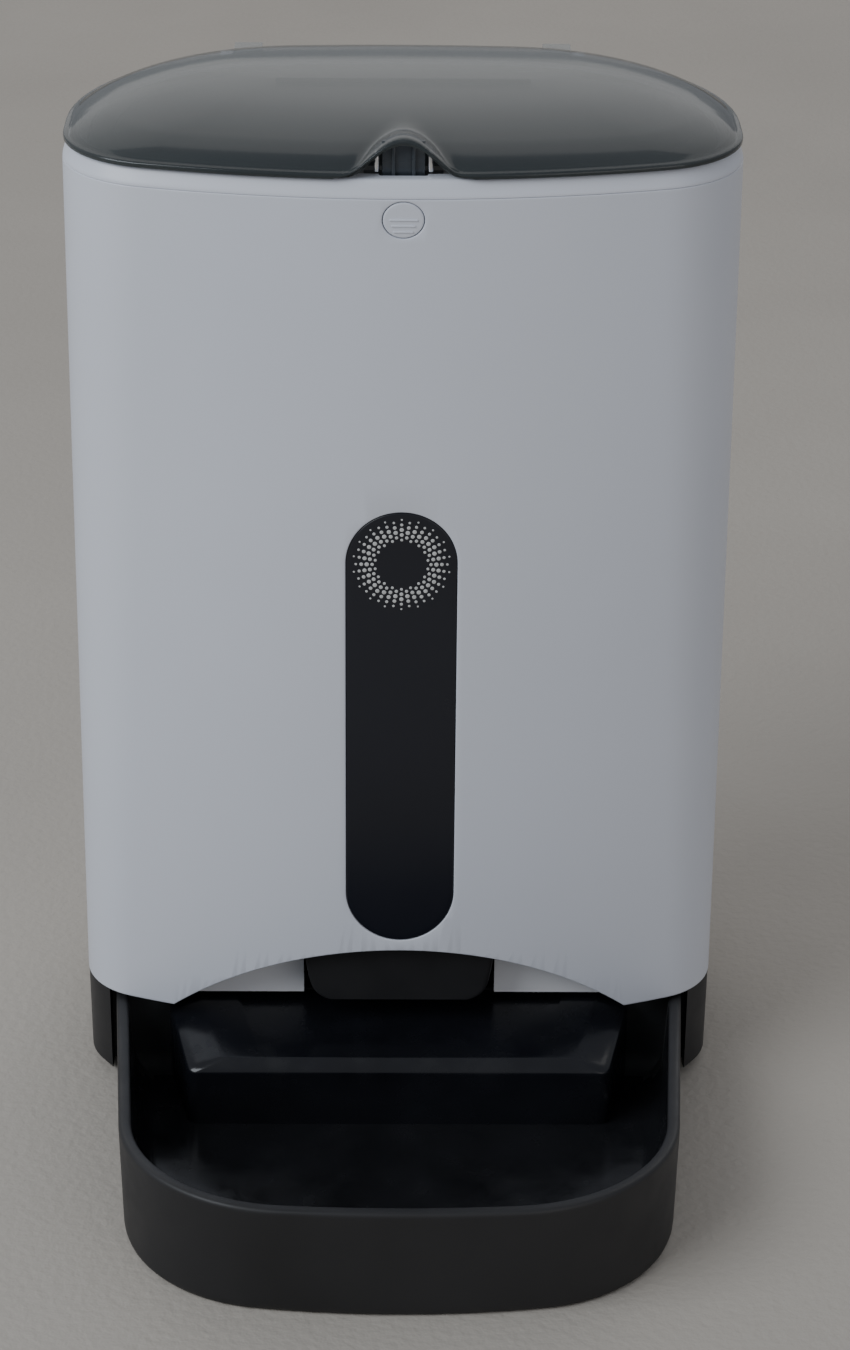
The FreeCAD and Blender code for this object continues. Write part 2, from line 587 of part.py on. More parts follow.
keep(cylinder("IdlerAxle", IDLER_X, "drive_y", "plate_low + 0.1", "idler_bore",
              "deck_low - plate_low - 0.2"), "idler_axle")

motor_can = cylinder("motor_can", MOTOR_X, MOTOR_Y, "motor_low", "motor_radius", "plate_low - motor_low")
motor_bell = cylinder("motor_bell", MOTOR_X, MOTOR_Y, "motor_low - 3", 5, 3)
motor_bore = cylinder("motor_bore", MOTOR_X, MOTOR_Y, "plate_low - 8", "idler_bore - 0.44", 20)


def motor_screw_holes(name, radius):
    return [cylinder(f"{name}_hole_{n}", f"{MOTOR_X} + {side} * motor_screw_x", MOTOR_Y, "plate_low - 3",
                     radius, 8) for n, side in enumerate((-1, 1))]


keep(cut("GearMotor", fuse("motor_solid", motor_can, motor_bell), motor_bore,
         *motor_screw_holes("motor_thread", 1.22)), "gear_motor")

plate_corners = ((-32, 52), (82, 52), (82, 106), (-32, 106))
plate_slab = box("plate_slab", 25, 46, "plate_low", 126, 66, "plate_thick")
plate_cuts = [
    cylinder("plate_shaft_hole", 0, "drive_y", "plate_low - 1", "shaft_radius + 3.02", 6),
    cylinder("plate_pinion_hole", MOTOR_X, MOTOR_Y, "plate_low - 1", 5.2, 6),
    *motor_screw_holes("plate_motor", 1.3)]
plate_pillars = [
    cylinder(f"plate_pillar_{n}", x, y, "plate_low + plate_thick - 0.1", 3.5,
             "deck_low - plate_low - plate_thick") for n, (x, y) in enumerate(plate_corners)]
plate_screw_holes = [
    cylinder(f"plate_screw_hole_{n}", x, y, "plate_low - 1", 1.55, 40)
    for n, (x, y) in enumerate(plate_corners)]
axle_seat = cylinder("axle_seat", IDLER_X, "drive_y", "plate_low + 0.1", "idler_bore + 0.01", 10)
keep(cut("GearPlate", fuse("plate_solid", plate_slab, *plate_pillars), *plate_cuts, *plate_screw_holes,
         axle_seat), "gear_plate")
keep(cut(
    "ShaftBush",
    fuse("bush_solid",
         cylinder("bush_body", 0, "drive_y", "plate_low", "shaft_radius + 3", "plate_thick + 5"),
         cylinder("bush_flange", 0, "drive_y", "plate_low - 1.5", "shaft_radius + 5", 1.5)),
    cylinder("bush_bore", 0, "drive_y", "plate_low - 3", "shaft_radius + running_gap", 20)), "shaft_bush")


def screw(name, x, y, z, thread, long, up=True):
    """Pan-head screw: head at z, shank towards the piece that it holds, with a cross recess."""
    head_z = f"({z}) - 2" if up else z
    shank_z = z if up else f"({z}) - ({long})"
    slot_z = f"({z}) - 2.1" if up else f"({z}) + 1.1"
    solid = fuse(name + "_solid", cylinder(name + "_head", x, y, head_z, f"2 * {thread}", 2),
                 cylinder(name + "_shank", x, y, shank_z, thread, long))
    return cut(name, solid, box(name + "_slot_a", x, f"({y}) - {thread}", slot_z, 0.7, 2 * thread, 1),
               box(name + "_slot_b", x, f"({y}) - 0.35", slot_z, 2 * thread, 0.7, 1))


keep(group("GearboxScrews", *[
    screw(f"gearbox_screw_{n}", x, y, "plate_low", 1.5, 26.5) for n, (x, y) in enumerate(plate_corners)]),
    "gearbox_screws")
keep(group("MotorScrews", *[
    screw(f"motor_screw_{n}", f"{MOTOR_X} + {side} * motor_screw_x", MOTOR_Y, "plate_low + plate_thick",
          1.2, 4, False)
    for n, side in enumerate((-1, 1))]), "motor_screws")

# ---------------------------------------------------------------- deck
DECK_POSTS = [(f"{side} * post_x", y) for y in ("post_front", "post_rear") for side in (-1, 1)]
deck_slab = common(
    "deck_slab", housing_solid("deck_limit", "housing_wall + 0.5"),
    box("deck_layer", 0, 12.5, "deck_low", 260, 130, "deck_thick"))
deck_cuts = [
    box("deck_chute_hole", 0, 5, "deck_low - 1", "2 * chute_half_top + 1", "chute_top_back - 3", 8),
    cylinder("deck_shaft_hole", 0, "drive_y", "deck_low - 1", "shaft_radius + 1.5", 8)]
deck_columns = [
    cylinder(f"deck_column_{n}", x, y, "boss_top + 0.1", "post_size", "deck_low - boss_top")
    for n, (x, y) in enumerate(DECK_POSTS)]
deck_screw_holes = [
    cylinder(f"deck_screw_hole_{n}", x, y, 0, 1.75, 24) for n, (x, y) in enumerate(DECK_POSTS)]
deck_plate_holes = [
    cylinder(f"deck_plate_hole_{n}", x, y, "deck_low - 1", 1.55, 2) for n, (x, y) in enumerate(plate_corners)]
keep(cut("MechanismDeck", fuse("deck_solid", deck_slab, *deck_columns), *deck_cuts, *deck_screw_holes,
         *deck_plate_holes), "mechanism_deck")

# ---------------------------------------------------------------- chute
def chute_plan(name, z, half, front, back, inset):
    return polygon(name, (
        (f"-({half}) + {inset}", f"{front} + {inset}"), (f"({half}) - {inset}", f"{front} + {inset}"),
        (f"({half}) - {inset}", f"{back} - {inset}"), (f"-({half}) + {inset}", f"{back} - {inset}")), z=z)


def chute_solid(name, inset, spare):
    """Upright spout below its knee and a sloping duct above it."""
    spout = loft(
        name + "_spout",
        chute_plan(name + "_a", f"chute_low - {spare}", "chute_half_low", "chute_front", "chute_back", inset),
        chute_plan(name + "_b", "chute_knee", "chute_half_top", "chute_front", "chute_back", inset))
    duct = loft(
        name + "_duct",
        chute_plan(name + "_c", "chute_knee", "chute_half_top", "chute_front", "chute_back", inset),
        chute_plan(name + "_d", f"cup_low - 0.3 + {spare}", "chute_half_top", "chute_top_front",
                   "chute_top_back", inset))
    return fuse(name, spout, duct)


chute_corners = [
    cylinder(f"chute_round_{n}", f"{side} * (chute_half_low - chute_corner)", -12, "chute_low + chute_corner",
             "chute_corner", 40, ALONG_Y) for n, side in enumerate((-1, 1))]
chute_squares = [
    box(f"chute_square_{n}", f"{side} * (chute_half_low - chute_corner / 2 + 1)", -12,
        "chute_low - 1", "chute_corner + 2", 40, "chute_corner + 1") for n, side in enumerate((-1, 1))]
chute_trim = [cut(f"chute_trim_{n}", chute_squares[n], chute_corners[n]) for n in range(2)]
keep(cut("Chute", chute_solid("chute_outer", "0", "0"), chute_solid("chute_inner", "chute_wall", "1"),
         *chute_trim), "chute")

apron_slab = common(
    "apron_slab", housing_solid("apron_limit", "housing_wall + 0.3", "housing_foot"),
    box("apron_layer", 0, "apron_y", "apron_low", "2 * apron_half", "apron_thick", "apron_high - apron_low"))
keep(cut("InnerFrontPanel", apron_slab,
         box("apron_notch", 0, "apron_y - 5", "apron_low - 5", "2 * chute_half_top + 1.2", 20, 60)),
     "inner_front_panel")

# ---------------------------------------------------------------- base
base_outer = loft(
    "base_outer", housing_plan("base_a", "foot", "base_low", "base_round"),
    housing_plan("base_b", "foot", "base_low + 3", "base_inset + 0.3"),
    housing_plan("base_c", "foot", "housing_foot - 0.1", "base_inset"))
base_core = loft(
    "base_core", housing_plan("base_d", "foot", "base_low + 2.4", "base_inset + 0.3 + base_wall"),
    housing_plan("base_e", "foot", "housing_foot + 5", "base_inset + base_wall"))
bay = box("tray_bay", 0, -40, -5, "2 * bay_half", "40 + bay_back", 60)
bay_wall = box("bay_wall", 0, -40, -6, "2 * (bay_half + base_wall)", "40 + bay_back + base_wall", 62)
bosses = [
    cylinder(f"base_boss_{n}", x, y, 0, "post_size + 1.5", "boss_top") for n, (x, y) in enumerate(DECK_POSTS)]
base_hollow = cut("base_hollow", base_core, bay_wall, *bosses)
door_opening = box("door_opening", "door_x", "door_front", -2, "2 * (door_half - door_rail)", 90, 8)
door_groove = box("door_groove", "door_x", "door_front", "base_low + rail_thick",
                  "2 * (door_half + door_gap)", 90, 4)
door_notch = box("door_notch", "door_x", "rear_foot - 9.6", -2, "2 * (door_half + door_gap)", 30, 14)
base_screw_holes = [
    cylinder(f"base_screw_hole_{n}", x, y, -1, 1.9, 12) for n, (x, y) in enumerate(DECK_POSTS)]
base_head_holes = [
    cylinder(f"base_head_hole_{n}", x, y, -1, 3.8, 7) for n, (x, y) in enumerate(DECK_POSTS)]
keep(cut("Base", base_outer, bay, base_hollow, door_opening, door_groove, door_notch, *base_screw_holes,
         *base_head_holes,
         cylinder("jack_hole", "jack_x", "jack_front", "jack_level", "jack_radius", 30, ALONG_Y)), "base")

keep(group("RubberFeet", *[
    cylinder(f"rubber_foot_{n}", x, y, 0, "foot_radius", "base_low") for n, (x, y) in enumerate(DECK_POSTS)]),
    "rubber_feet")
keep(group("BaseScrews", *[
    screw(f"base_screw_{n}", x, y, 6, 1.7, 14) for n, (x, y) in enumerate(DECK_POSTS)]), "base_screws")

# ---------------------------------------------------------------- batteries
CELLS = 3
door_plate = box("door_plate", "door_x", "door_front + 0.4", "base_low + rail_thick + 0.1", "2 * door_half",
                 "rear_foot - 8 - door_front", "door_thick")
door_lip = common(
    "door_lip", loft("door_limit", housing_plan("door_a", "foot", "base_low + 0.1", "base_round"),
                     housing_plan("door_b", "foot", "base_low + 3", "base_inset + 0.3"),
                     housing_plan("door_c", "foot", "housing_foot", "base_inset")),
    box("door_lip_block", "door_x", "rear_foot - 9.2", "base_low + 0.1", "2 * door_half", 20, 9.9))
door_grip = [
    box(f"door_grip_{n}", "door_x", f"door_front + 10 + {3 * n}", "base_low + 0.1", 24, 1.2, 1.2)
    for n in range(4)]
keep(fuse("BatteryDoor", door_plate, door_lip, *door_grip), "battery_door")

for n in range(CELLS):
    cell_x = f"cell_x + {n} * cell_pitch"
    level = "base_low + 3.4 + cell_radius"
    can = cylinder(f"cell_can_{n}", cell_x, "cell_front", level, "cell_radius", "cell_long - 1.5", ALONG_Y)
    tip = cylinder(f"cell_tip_{n}", cell_x, "cell_front + cell_long - 1.6", level, 4.5, 1.6, ALONG_Y)
    keep(fuse(f"Battery{n + 1}", can, tip), f"battery_{n + 1}")

roof_level = "base_low + 2 * cell_radius + 4.6"
tub = box("battery_tub", "door_x", "cell_front - 6.5", "base_low + 2.5",
          "2 * door_half", "cell_long + 9.5", f"{roof_level} - base_low - 1.3")
tub_hollow = box("battery_tub_hollow", "door_x", "cell_front - 5", 0, "2 * door_half - 2.4",
                 "cell_long + 6.5", f"{roof_level}")
keep(cut("BatteryBox", tub, tub_hollow), "battery_box")

contact_level = "base_low + 3.4 + cell_radius"
keep(group("BatterySprings", *[
    cut(f"contact_spring_{n}",
        fuse(f"contact_spring_solid_{n}", *[
            cylinder(f"contact_coil_{n}{m}", f"cell_x + {n} * cell_pitch", f"cell_front - 4.2 + {m}",
                     contact_level, 6 - 0.9 * m, 1.05, ALONG_Y) for m in range(4)]),
        cylinder(f"contact_bore_{n}", f"cell_x + {n} * cell_pitch", "cell_front - 6", contact_level,
                 2, 9, ALONG_Y)) for n in range(CELLS)]), "battery_springs")
keep(group("BatteryPlates", *[
    box(f"contact_plate_{n}", f"cell_x + {n} * cell_pitch", "cell_front + cell_long + 0.3",
        f"{contact_level} - 9", 20, 0.8, 18) for n in range(CELLS)]), "battery_plates")

# ---------------------------------------------------------------- tray
def tray_plan(name, z, half, front, bow, corner, inset):
    """D-shaped plan: bowed front, large corners, sides that spread a little to a straight back."""
    sketch = doc.addObject("Sketcher::SketchObject", name)
    flare = math.radians(value("tray_flare"))
    half_text = f"{half} - ({inset}) / cos(tray_flare * 1 deg)"
    a, yf, rf, rc = (value(t) for t in (half_text, f"{front} + ({inset})", f"{bow} - ({inset})",
                                        f"{corner} - ({inset})"))
    yr = value(f"tray_rear - ({inset})")
    mid = yf + rf
    along = Vector(math.sin(flare), math.cos(flare), 0)
    across = Vector(-math.cos(flare), math.sin(flare), 0)
    start = Vector(a, yr, 0) + across * rc
    gap = start - Vector(0, mid, 0)
    b = gap.dot(along)
    t = -b - math.sqrt(b * b - gap.dot(gap) + (rf - rc) ** 2)
    centre = start + along * t
    touch = centre - across * rc
    turn = math.atan2(centre.y - mid, centre.x)

    def arc(x, y, radius, begin, end):
        return Part.ArcOfCircle(Part.Circle(Vector(x, y, 0), Vector(0, 0, 1), radius), begin, end)

    sketch.addGeometry([
        arc(0, mid, rf, -math.pi - turn, turn),
        arc(centre.x, centre.y, rc, turn, -flare),
        Part.LineSegment(touch, Vector(a, yr, 0)),
        Part.LineSegment(Vector(a, yr, 0), Vector(-a, yr, 0)),
        Part.LineSegment(Vector(-a, yr, 0), Vector(-touch.x, touch.y, 0)),
        arc(-centre.x, centre.y, rc, math.pi + flare, math.pi - turn),
    ], False)
    for n, m in ((0, 1), (1, 2), (4, 5), (5, 0)):
        sketch.addConstraint(Sketcher.Constraint("Tangent", n, 2, m, 1))
    for n, m in ((2, 3), (3, 4)):
        sketch.addConstraint(Sketcher.Constraint("Coincident", n, 2, m, 1))
    sketch.addConstraint(Sketcher.Constraint("PointOnObject", 0, 3, -2))
    sketch.addConstraint(Sketcher.Constraint("Equal", 1, 5))
    sketch.addConstraint(Sketcher.Constraint("Horizontal", 3))
    tie(sketch, f"{bow} - ({inset})", "Radius", 0)
    tie(sketch, f"{corner} - ({inset})", "Radius", 1)
    tie(sketch, f"{front} + {bow}", "DistanceY", -1, 1, 0, 3)
    tie(sketch, f"tray_rear - ({inset})", "DistanceY", -1, 1, 3, 1)
    tie(sketch, half_text, "DistanceX", -1, 1, 3, 1)
    tie(sketch, half_text, "DistanceX", 3, 2, -1, 1)
    side_angle = math.pi / 2 - flare
    for line, sign in ((2, 1), (4, -1)):
        index = sketch.addConstraint(Sketcher.Constraint("Angle", line, sign * side_angle))
        sketch.setExpression(f"Constraints[{index}]", ref(f"{sign} * (90 - tray_flare) * 1 deg"))
    return place(sketch, 0, 0, z)


def tray_solid(name, inset, low, high):
    foot = tray_plan(name + "_foot", low, "tray_foot_half", "tray_foot_front", "tray_foot_bow",
                     "tray_foot_corner", inset)
    top = tray_plan(name + "_top", high, "tray_half_rear", "tray_front", "tray_bow", "tray_corner", inset)
    return loft(name, foot, top)


def above_tray(name):
    """Everything above the tray's sloping edge."""
    item = box(name, 0, -30, 0, 400, 400, 60, ((1, 0, 0), -value("tray_slope")))
    bind(item, Placement__Base__y="tray_front - 20 * cos(tray_slope * 1 deg)",
         Placement__Base__z="tray_lip + 20 * sin(tray_slope * 1 deg)")
    return item


ramp_outline = (
    ("-ramp_rear_half - ramp_bevel", "tray_rear"),
    ("-ramp_front_half - ramp_bevel - 3", "ramp_front - ramp_nose"),
    ("ramp_front_half + ramp_bevel + 3", "ramp_front - ramp_nose"),
    ("ramp_rear_half + ramp_bevel", "tray_rear"))
ramp_low = polygon("ramp_low", ramp_outline, z="tray_floor - 1")
ramp_shoulder = polygon("ramp_shoulder", ramp_outline, z="ramp_front_level - 4")
ramp_angle = math.degrees(math.atan2(
    value("ramp_back_level - ramp_front_level"), value("apron_y - ramp_front")))
ramp_top_long = "(tray_rear - ramp_front) / cos(tray_slope * 1 deg)"
ramp_top = polygon("ramp_top", (
    ("-ramp_rear_half - 2", ramp_top_long), ("-ramp_front_half", "0"), ("ramp_front_half", "0"),
    ("ramp_rear_half + 2", ramp_top_long)), 0, "ramp_front", "ramp_front_level",
    ((1, 0, 0), ramp_angle))
ramp = fuse("ramp", loft("ramp_body", ramp_low, ramp_shoulder), loft("ramp_crown", ramp_shoulder, ramp_top))
ramp_void = box("ramp_void", 0, "ramp_front + 4", -2, "2 * ramp_front_half", 60, "ramp_front_level - 4")
tray_shell = cut("tray_shell", tray_solid("tray_outer", "0", "0", "48"),
                 tray_solid("tray_inner", "tray_wall", "tray_floor", "48.01"))
tray_ramp = common("tray_ramp", ramp, tray_solid("ramp_limit", "1", "0", "48"))
keep(cut("FeedingTray", fuse("tray_solid_all", tray_shell, tray_ramp), above_tray("tray_cap"), ramp_void),
     "feeding_tray")

# ---------------------------------------------------------------- electronics
speaker_body = fuse(
    "speaker_body", cylinder("speaker_frame", 0, -1.6, "speaker_level", "speaker_radius", 3, ALONG_Y),
    cylinder("speaker_basket", 0, 1.3, "speaker_level", "speaker_radius - 5", 3.4, ALONG_Y),
    cylinder("speaker_magnet", 0, 4.6, "speaker_level", "speaker_radius - 7.5", 4, ALONG_Y))
keep(cut("Speaker", speaker_body,
         cylinder("speaker_dish", 0, -2, "speaker_level", "speaker_radius - 2", 2.4, ALONG_Y)), "speaker")
cone = doc.addObject("Part::Cone", "SpeakerCone")
bind(cone, Radius1="speaker_radius - 2.1", Radius2="5", Height=1.9)
place(cone, 0, -1.55, "speaker_level", ALONG_Y)
keep(cone, "speaker_cone")

keep(box("ControlBoard", 0, "board_y", "board_low + 6", "2 * board_half", "board_thick",
         "board_high - board_low - 6"), "control_board")
BOARD_PIECES = (  # x, z, wide, deep, tall
    (0, 128, 12, 2, 12), (-8, 160, 7, 1.6, 7), (9, 158, 6, 5, 9), (-6, 105, 14, 6, 6), (10, 104, 5, 4, 5))
keep(group("BoardComponents", *[
    box(f"board_piece_{n}", x, "board_y + board_thick", z, wide, deep, tall)
    for n, (x, z, wide, deep, tall) in enumerate(BOARD_PIECES)]), "board_components")

keep(box("KeyBoard", 0, 122, "key_level - 9", 46, 1.6, 18), "key_board")
for label, side in (("setup_key", -1), ("record_key", 1)):
    key_cap = cylinder(label + "_cap", f"{side} * key_x", 130, "key_level", "key_radius", 7.5, ALONG_Y)
    key_flange = cylinder(label + "_flange", f"{side} * key_x", 132.6, "key_level", "key_radius + 1.4", 1.4,
                          ALONG_Y)
    key_stem = cylinder(label + "_stem", f"{side} * key_x", 126.6, "key_level", 1.5, 4, ALONG_Y)
    keep(fuse(label.title().replace("_", ""), key_cap, key_flange, key_stem), label)
keep(group("KeySwitches", *[
    box(f"key_switch_{n}", f"{side} * key_x", 123.6, "key_level - 3", 6, 1.6, 6)
    for n, side in enumerate((-1, 1))]), "key_switches")

jack_body = cylinder("jack_body", "jack_x", "jack_front", "jack_level", "jack_radius - 0.05", 13.4, ALONG_Y)
jack_socket = cylinder("jack_socket", "jack_x", "jack_front + 4", "jack_level", 3, 20, ALONG_Y)
jack_pin = cylinder("jack_pin", "jack_x", "jack_front + 2", "jack_level", 1, 9.5, ALONG_Y)
keep(fuse("DcJack", cut("jack_shell", jack_body, jack_socket), jack_pin), "dc_jack")

# ---------------------------------------------------------------- check and write
doc.recompute()
for item in doc.Objects:
    if "Invalid" in item.State or "Error" in item.State:
        raise RuntimeError(f"{item.Name} failed: {item.State}")
os.makedirs("parts", exist_ok=True)
for item in parts:
    shape = item.Shape
    if shape.isNull() or not shape.isValid() or shape.Volume <= 0:
        raise RuntimeError(f"{item.Label} is not a valid solid")
    shape.exportStep(f"parts/{item.Label}.step")
    print(f"{item.Label:18s} solids {len(shape.Solids)} volume {shape.Volume / 1000:9.2f} cm3")
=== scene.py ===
"""Looks of the automatic pet feeder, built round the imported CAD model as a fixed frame.

Lengths in this file are millimetres until a mesh is made. +Z is up, X across and -Y towards the tray.
"""
import functools
import math

import bmesh
import bpy
from mathutils import Matrix, Vector


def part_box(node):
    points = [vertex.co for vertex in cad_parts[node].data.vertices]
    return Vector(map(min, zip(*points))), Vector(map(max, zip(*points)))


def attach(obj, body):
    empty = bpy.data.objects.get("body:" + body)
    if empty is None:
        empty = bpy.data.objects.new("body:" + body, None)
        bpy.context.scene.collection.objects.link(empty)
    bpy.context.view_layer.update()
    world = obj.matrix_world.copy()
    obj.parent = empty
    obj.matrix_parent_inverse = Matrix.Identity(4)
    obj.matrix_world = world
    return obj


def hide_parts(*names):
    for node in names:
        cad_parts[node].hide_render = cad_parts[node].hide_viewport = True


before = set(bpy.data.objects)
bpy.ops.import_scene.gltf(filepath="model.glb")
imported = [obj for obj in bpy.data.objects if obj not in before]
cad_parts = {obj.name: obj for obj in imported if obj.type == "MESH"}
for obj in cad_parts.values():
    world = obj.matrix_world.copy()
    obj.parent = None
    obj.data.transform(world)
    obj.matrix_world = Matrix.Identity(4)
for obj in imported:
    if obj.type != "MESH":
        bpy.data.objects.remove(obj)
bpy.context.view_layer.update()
MM = 0.001


def node_box(name):
    """Lowest and highest corner of a CAD node, in millimetres."""
    low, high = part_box(name)
    return low / MM, high / MM


# ---------------------------------------------------------------- materials
def clamp(number):
    """Number kept between 0 and 1."""
    return max(0.0, min(1.0, number))


def noise(tree, scale, detail=2.0, stretch=(1, 1, 1)):
    """Noise in metres of the row frame, stretched along an axis where the moulding or brushing runs."""
    coords = tree.nodes.new("ShaderNodeTexCoord")
    mapping = tree.nodes.new("ShaderNodeMapping")
    mapping.inputs["Scale"].default_value = stretch
    pattern = tree.nodes.new("ShaderNodeTexNoise")
    pattern.inputs["Scale"].default_value = scale
    pattern.inputs["Detail"].default_value = detail
    tree.links.new(coords.outputs["Object"], mapping.inputs["Vector"])
    tree.links.new(mapping.outputs["Vector"], pattern.inputs["Vector"])
    return pattern.outputs["Fac"]


def spread(tree, value, low, high, start=0.3, end=0.7):
    """Turn a noise value into a number between low and high."""
    node = tree.nodes.new("ShaderNodeMapRange")
    for socket, number in (("From Min", start), ("From Max", end), ("To Min", low), ("To Max", high)):
        node.inputs[socket].default_value = number
    tree.links.new(value, node.inputs["Value"])
    return node.outputs["Result"]


def two_tone(tree, value, dark, light, start=0.3, end=0.7):
    """Turn a value into a colour between a dark and a light one."""
    ramp = tree.nodes.new("ShaderNodeValToRGB")
    ramp.color_ramp.elements[0].position = start
    ramp.color_ramp.elements[1].position = end
    ramp.color_ramp.elements[0].color = (*dark, 1)
    ramp.color_ramp.elements[1].color = (*light, 1)
    tree.links.new(value, ramp.inputs["Fac"])
    return ramp.outputs["Color"]


def surface(name, colour, rough, tint=0.04, rough_spread=0.05, mottle=22, grain=1400, depth=0.00002,
            stretch=(1, 1, 1), **settings):
    """Moulded or machined surface: mottled colour, uneven gloss and a fine grain."""
    material = bpy.data.materials.new(name)
    material.use_nodes = True
    tree = material.node_tree
    shader = tree.nodes["Principled BSDF"]
    dark = tuple(clamp(c * (1 - tint)) for c in colour)
    light = tuple(clamp(c * (1 + tint)) for c in colour)
    tree.links.new(two_tone(tree, noise(tree, mottle, 3, stretch), dark, light), shader.inputs["Base Color"])
    uneven = noise(tree, mottle * 3.7, 4, stretch)
    tree.links.new(spread(tree, uneven, clamp(rough - rough_spread), clamp(rough + rough_spread)),
                   shader.inputs["Roughness"])
    bump = tree.nodes.new("ShaderNodeBump")
    bump.inputs["Distance"].default_value = depth
    bump.inputs["Strength"].default_value = 0.6
    tree.links.new(noise(tree, grain, 2, stretch), bump.inputs["Height"])
    tree.links.new(bump.outputs["Normal"], shader.inputs["Normal"])
    for key, number in settings.items():
        shader.inputs[key.replace("_", " ")].default_value = number
    return material


MATERIALS = {
    "white_shell": surface("white_shell", (0.64, 0.665, 0.73), 0.36, tint=0.02, mottle=9, grain=1800,
                           depth=0.000012, Specular_IOR_Level=0.45),
    "inner_white": surface("inner_white", (0.86, 0.87, 0.9), 0.5, tint=0.03, mottle=14),
    "black_plastic": surface("black_plastic", (0.0155, 0.0155, 0.0168), 0.5, tint=0.22, rough_spread=0.07,
                             mottle=16, grain=2600, depth=0.00004, Specular_IOR_Level=0.42),
    "bowl_gloss": surface("bowl_gloss", (0.0085, 0.0088, 0.0102), 0.2, tint=0.3, rough_spread=0.09,
                          mottle=30, grain=700, depth=0.00001, Specular_IOR_Level=0.5),
    "ramp_satin": surface("ramp_satin", (0.006, 0.0066, 0.009), 0.24, tint=0.3, rough_spread=0.1,
                          mottle=26, grain=900, depth=0.00002, Specular_IOR_Level=0.45),
    "black_gloss": surface("black_gloss", (0.0085, 0.0098, 0.0155), 0.3, tint=0.12, rough_spread=0.03,
                           mottle=12, grain=1800, depth=0.000008, Specular_IOR_Level=0.45),
    "seal_rubber": surface("seal_rubber", (0.012, 0.013, 0.014), 0.72, tint=0.3, mottle=60, grain=3000,
                           depth=0.00006),
    "soft_vane": surface("soft_vane", (0.42, 0.45, 0.43), 0.62, tint=0.1, mottle=60, grain=2400,
                         depth=0.00005),
    "steel": surface("steel", (0.42, 0.42, 0.43), 0.34, tint=0.08, mottle=80, grain=900,
                     depth=0.00002, stretch=(1, 1, 6), Metallic=1.0),
    "bright_steel": surface("bright_steel", (0.72, 0.73, 0.75), 0.18, tint=0.04, mottle=90, grain=1200,
                            depth=0.00001, Metallic=1.0),
    "gear_plastic": surface("gear_plastic", (0.62, 0.59, 0.50), 0.42, tint=0.08, mottle=50, grain=1500),
    "grey_plastic": surface("grey_plastic", (0.20, 0.205, 0.215), 0.45, tint=0.1, mottle=30),
    "tank_plastic": surface("tank_plastic", (0.115, 0.125, 0.13), 0.34, tint=0.08, mottle=18, grain=1300),
    "board_green": surface("board_green", (0.02, 0.13, 0.055), 0.35, tint=0.2, mottle=240, grain=2600,
                           depth=0.00003),
    "chip_black": surface("chip_black", (0.015, 0.015, 0.016), 0.5, tint=0.3, mottle=300, grain=4000),
    "cell_label": surface("cell_label", (0.05, 0.12, 0.22), 0.3, tint=0.15, mottle=40, grain=900,
                          depth=0.00001, stretch=(1, 0.2, 1), Metallic=0.3),
    "brass": surface("brass", (0.62, 0.44, 0.17), 0.28, tint=0.1, mottle=80, Metallic=1.0),
    "print_white": surface("print_white", (0.55, 0.555, 0.55), 0.5, tint=0.08, mottle=200, grain=3000),
}


def smoke(name, front, rear, alpha, rough):
    """Smoke-tinted plastic with painted light: darker and more opaque at the front as painted shade, paler
    and clearer at the rear as a painted reflection of the wall, faintly streaked.
    """
    material = surface(name, front, rough, rough_spread=0.03, mottle=7, grain=500, depth=0.000006,
                       stretch=(0.5, 1, 1), IOR=1.49)
    tree = material.node_tree
    shader = tree.nodes["Principled BSDF"]
    coords = tree.nodes.new("ShaderNodeTexCoord")
    split = tree.nodes.new("ShaderNodeSeparateXYZ")
    tree.links.new(coords.outputs["Object"], split.inputs["Vector"])
    # painted light: a share along Y with faint streaked noise, from the dark front (painted shade) to the
    # pale rear (painted reflection)
    painted_light_with_streaks = tree.nodes.new("ShaderNodeMath")
    painted_light_with_streaks.operation = "MULTIPLY_ADD"
    painted_light_with_streaks.inputs[1].default_value = 0.03
    tree.links.new(noise(tree, 9, 3, (0.4, 1, 1)), painted_light_with_streaks.inputs[0])
    tree.links.new(split.outputs["Y"], painted_light_with_streaks.inputs[2])
    painted_light_share = spread(tree, painted_light_with_streaks.outputs["Value"], 0, 1, 0.005, 0.15)
    tree.links.new(two_tone(tree, painted_light_share, front, rear, 0.08, 0.95), shader.inputs["Base Color"])
    tree.links.new(spread(tree, painted_light_share, alpha[0], alpha[1], 0, 1), shader.inputs["Alpha"])
    return material


# lid and latch smoke: the dark front colour is painted shade, and the pale rear colour is a painted
# reflection of the wall
MATERIALS["clear_smoke"] = smoke("clear_smoke", (0.034, 0.042, 0.045), (0.21, 0.22, 0.21), (0.76, 0.62), 0.12)
MATERIALS["latch_smoke"] = smoke("latch_smoke", (0.04, 0.05, 0.062), (0.06, 0.065, 0.07), (0.9, 0.92), 0.2)

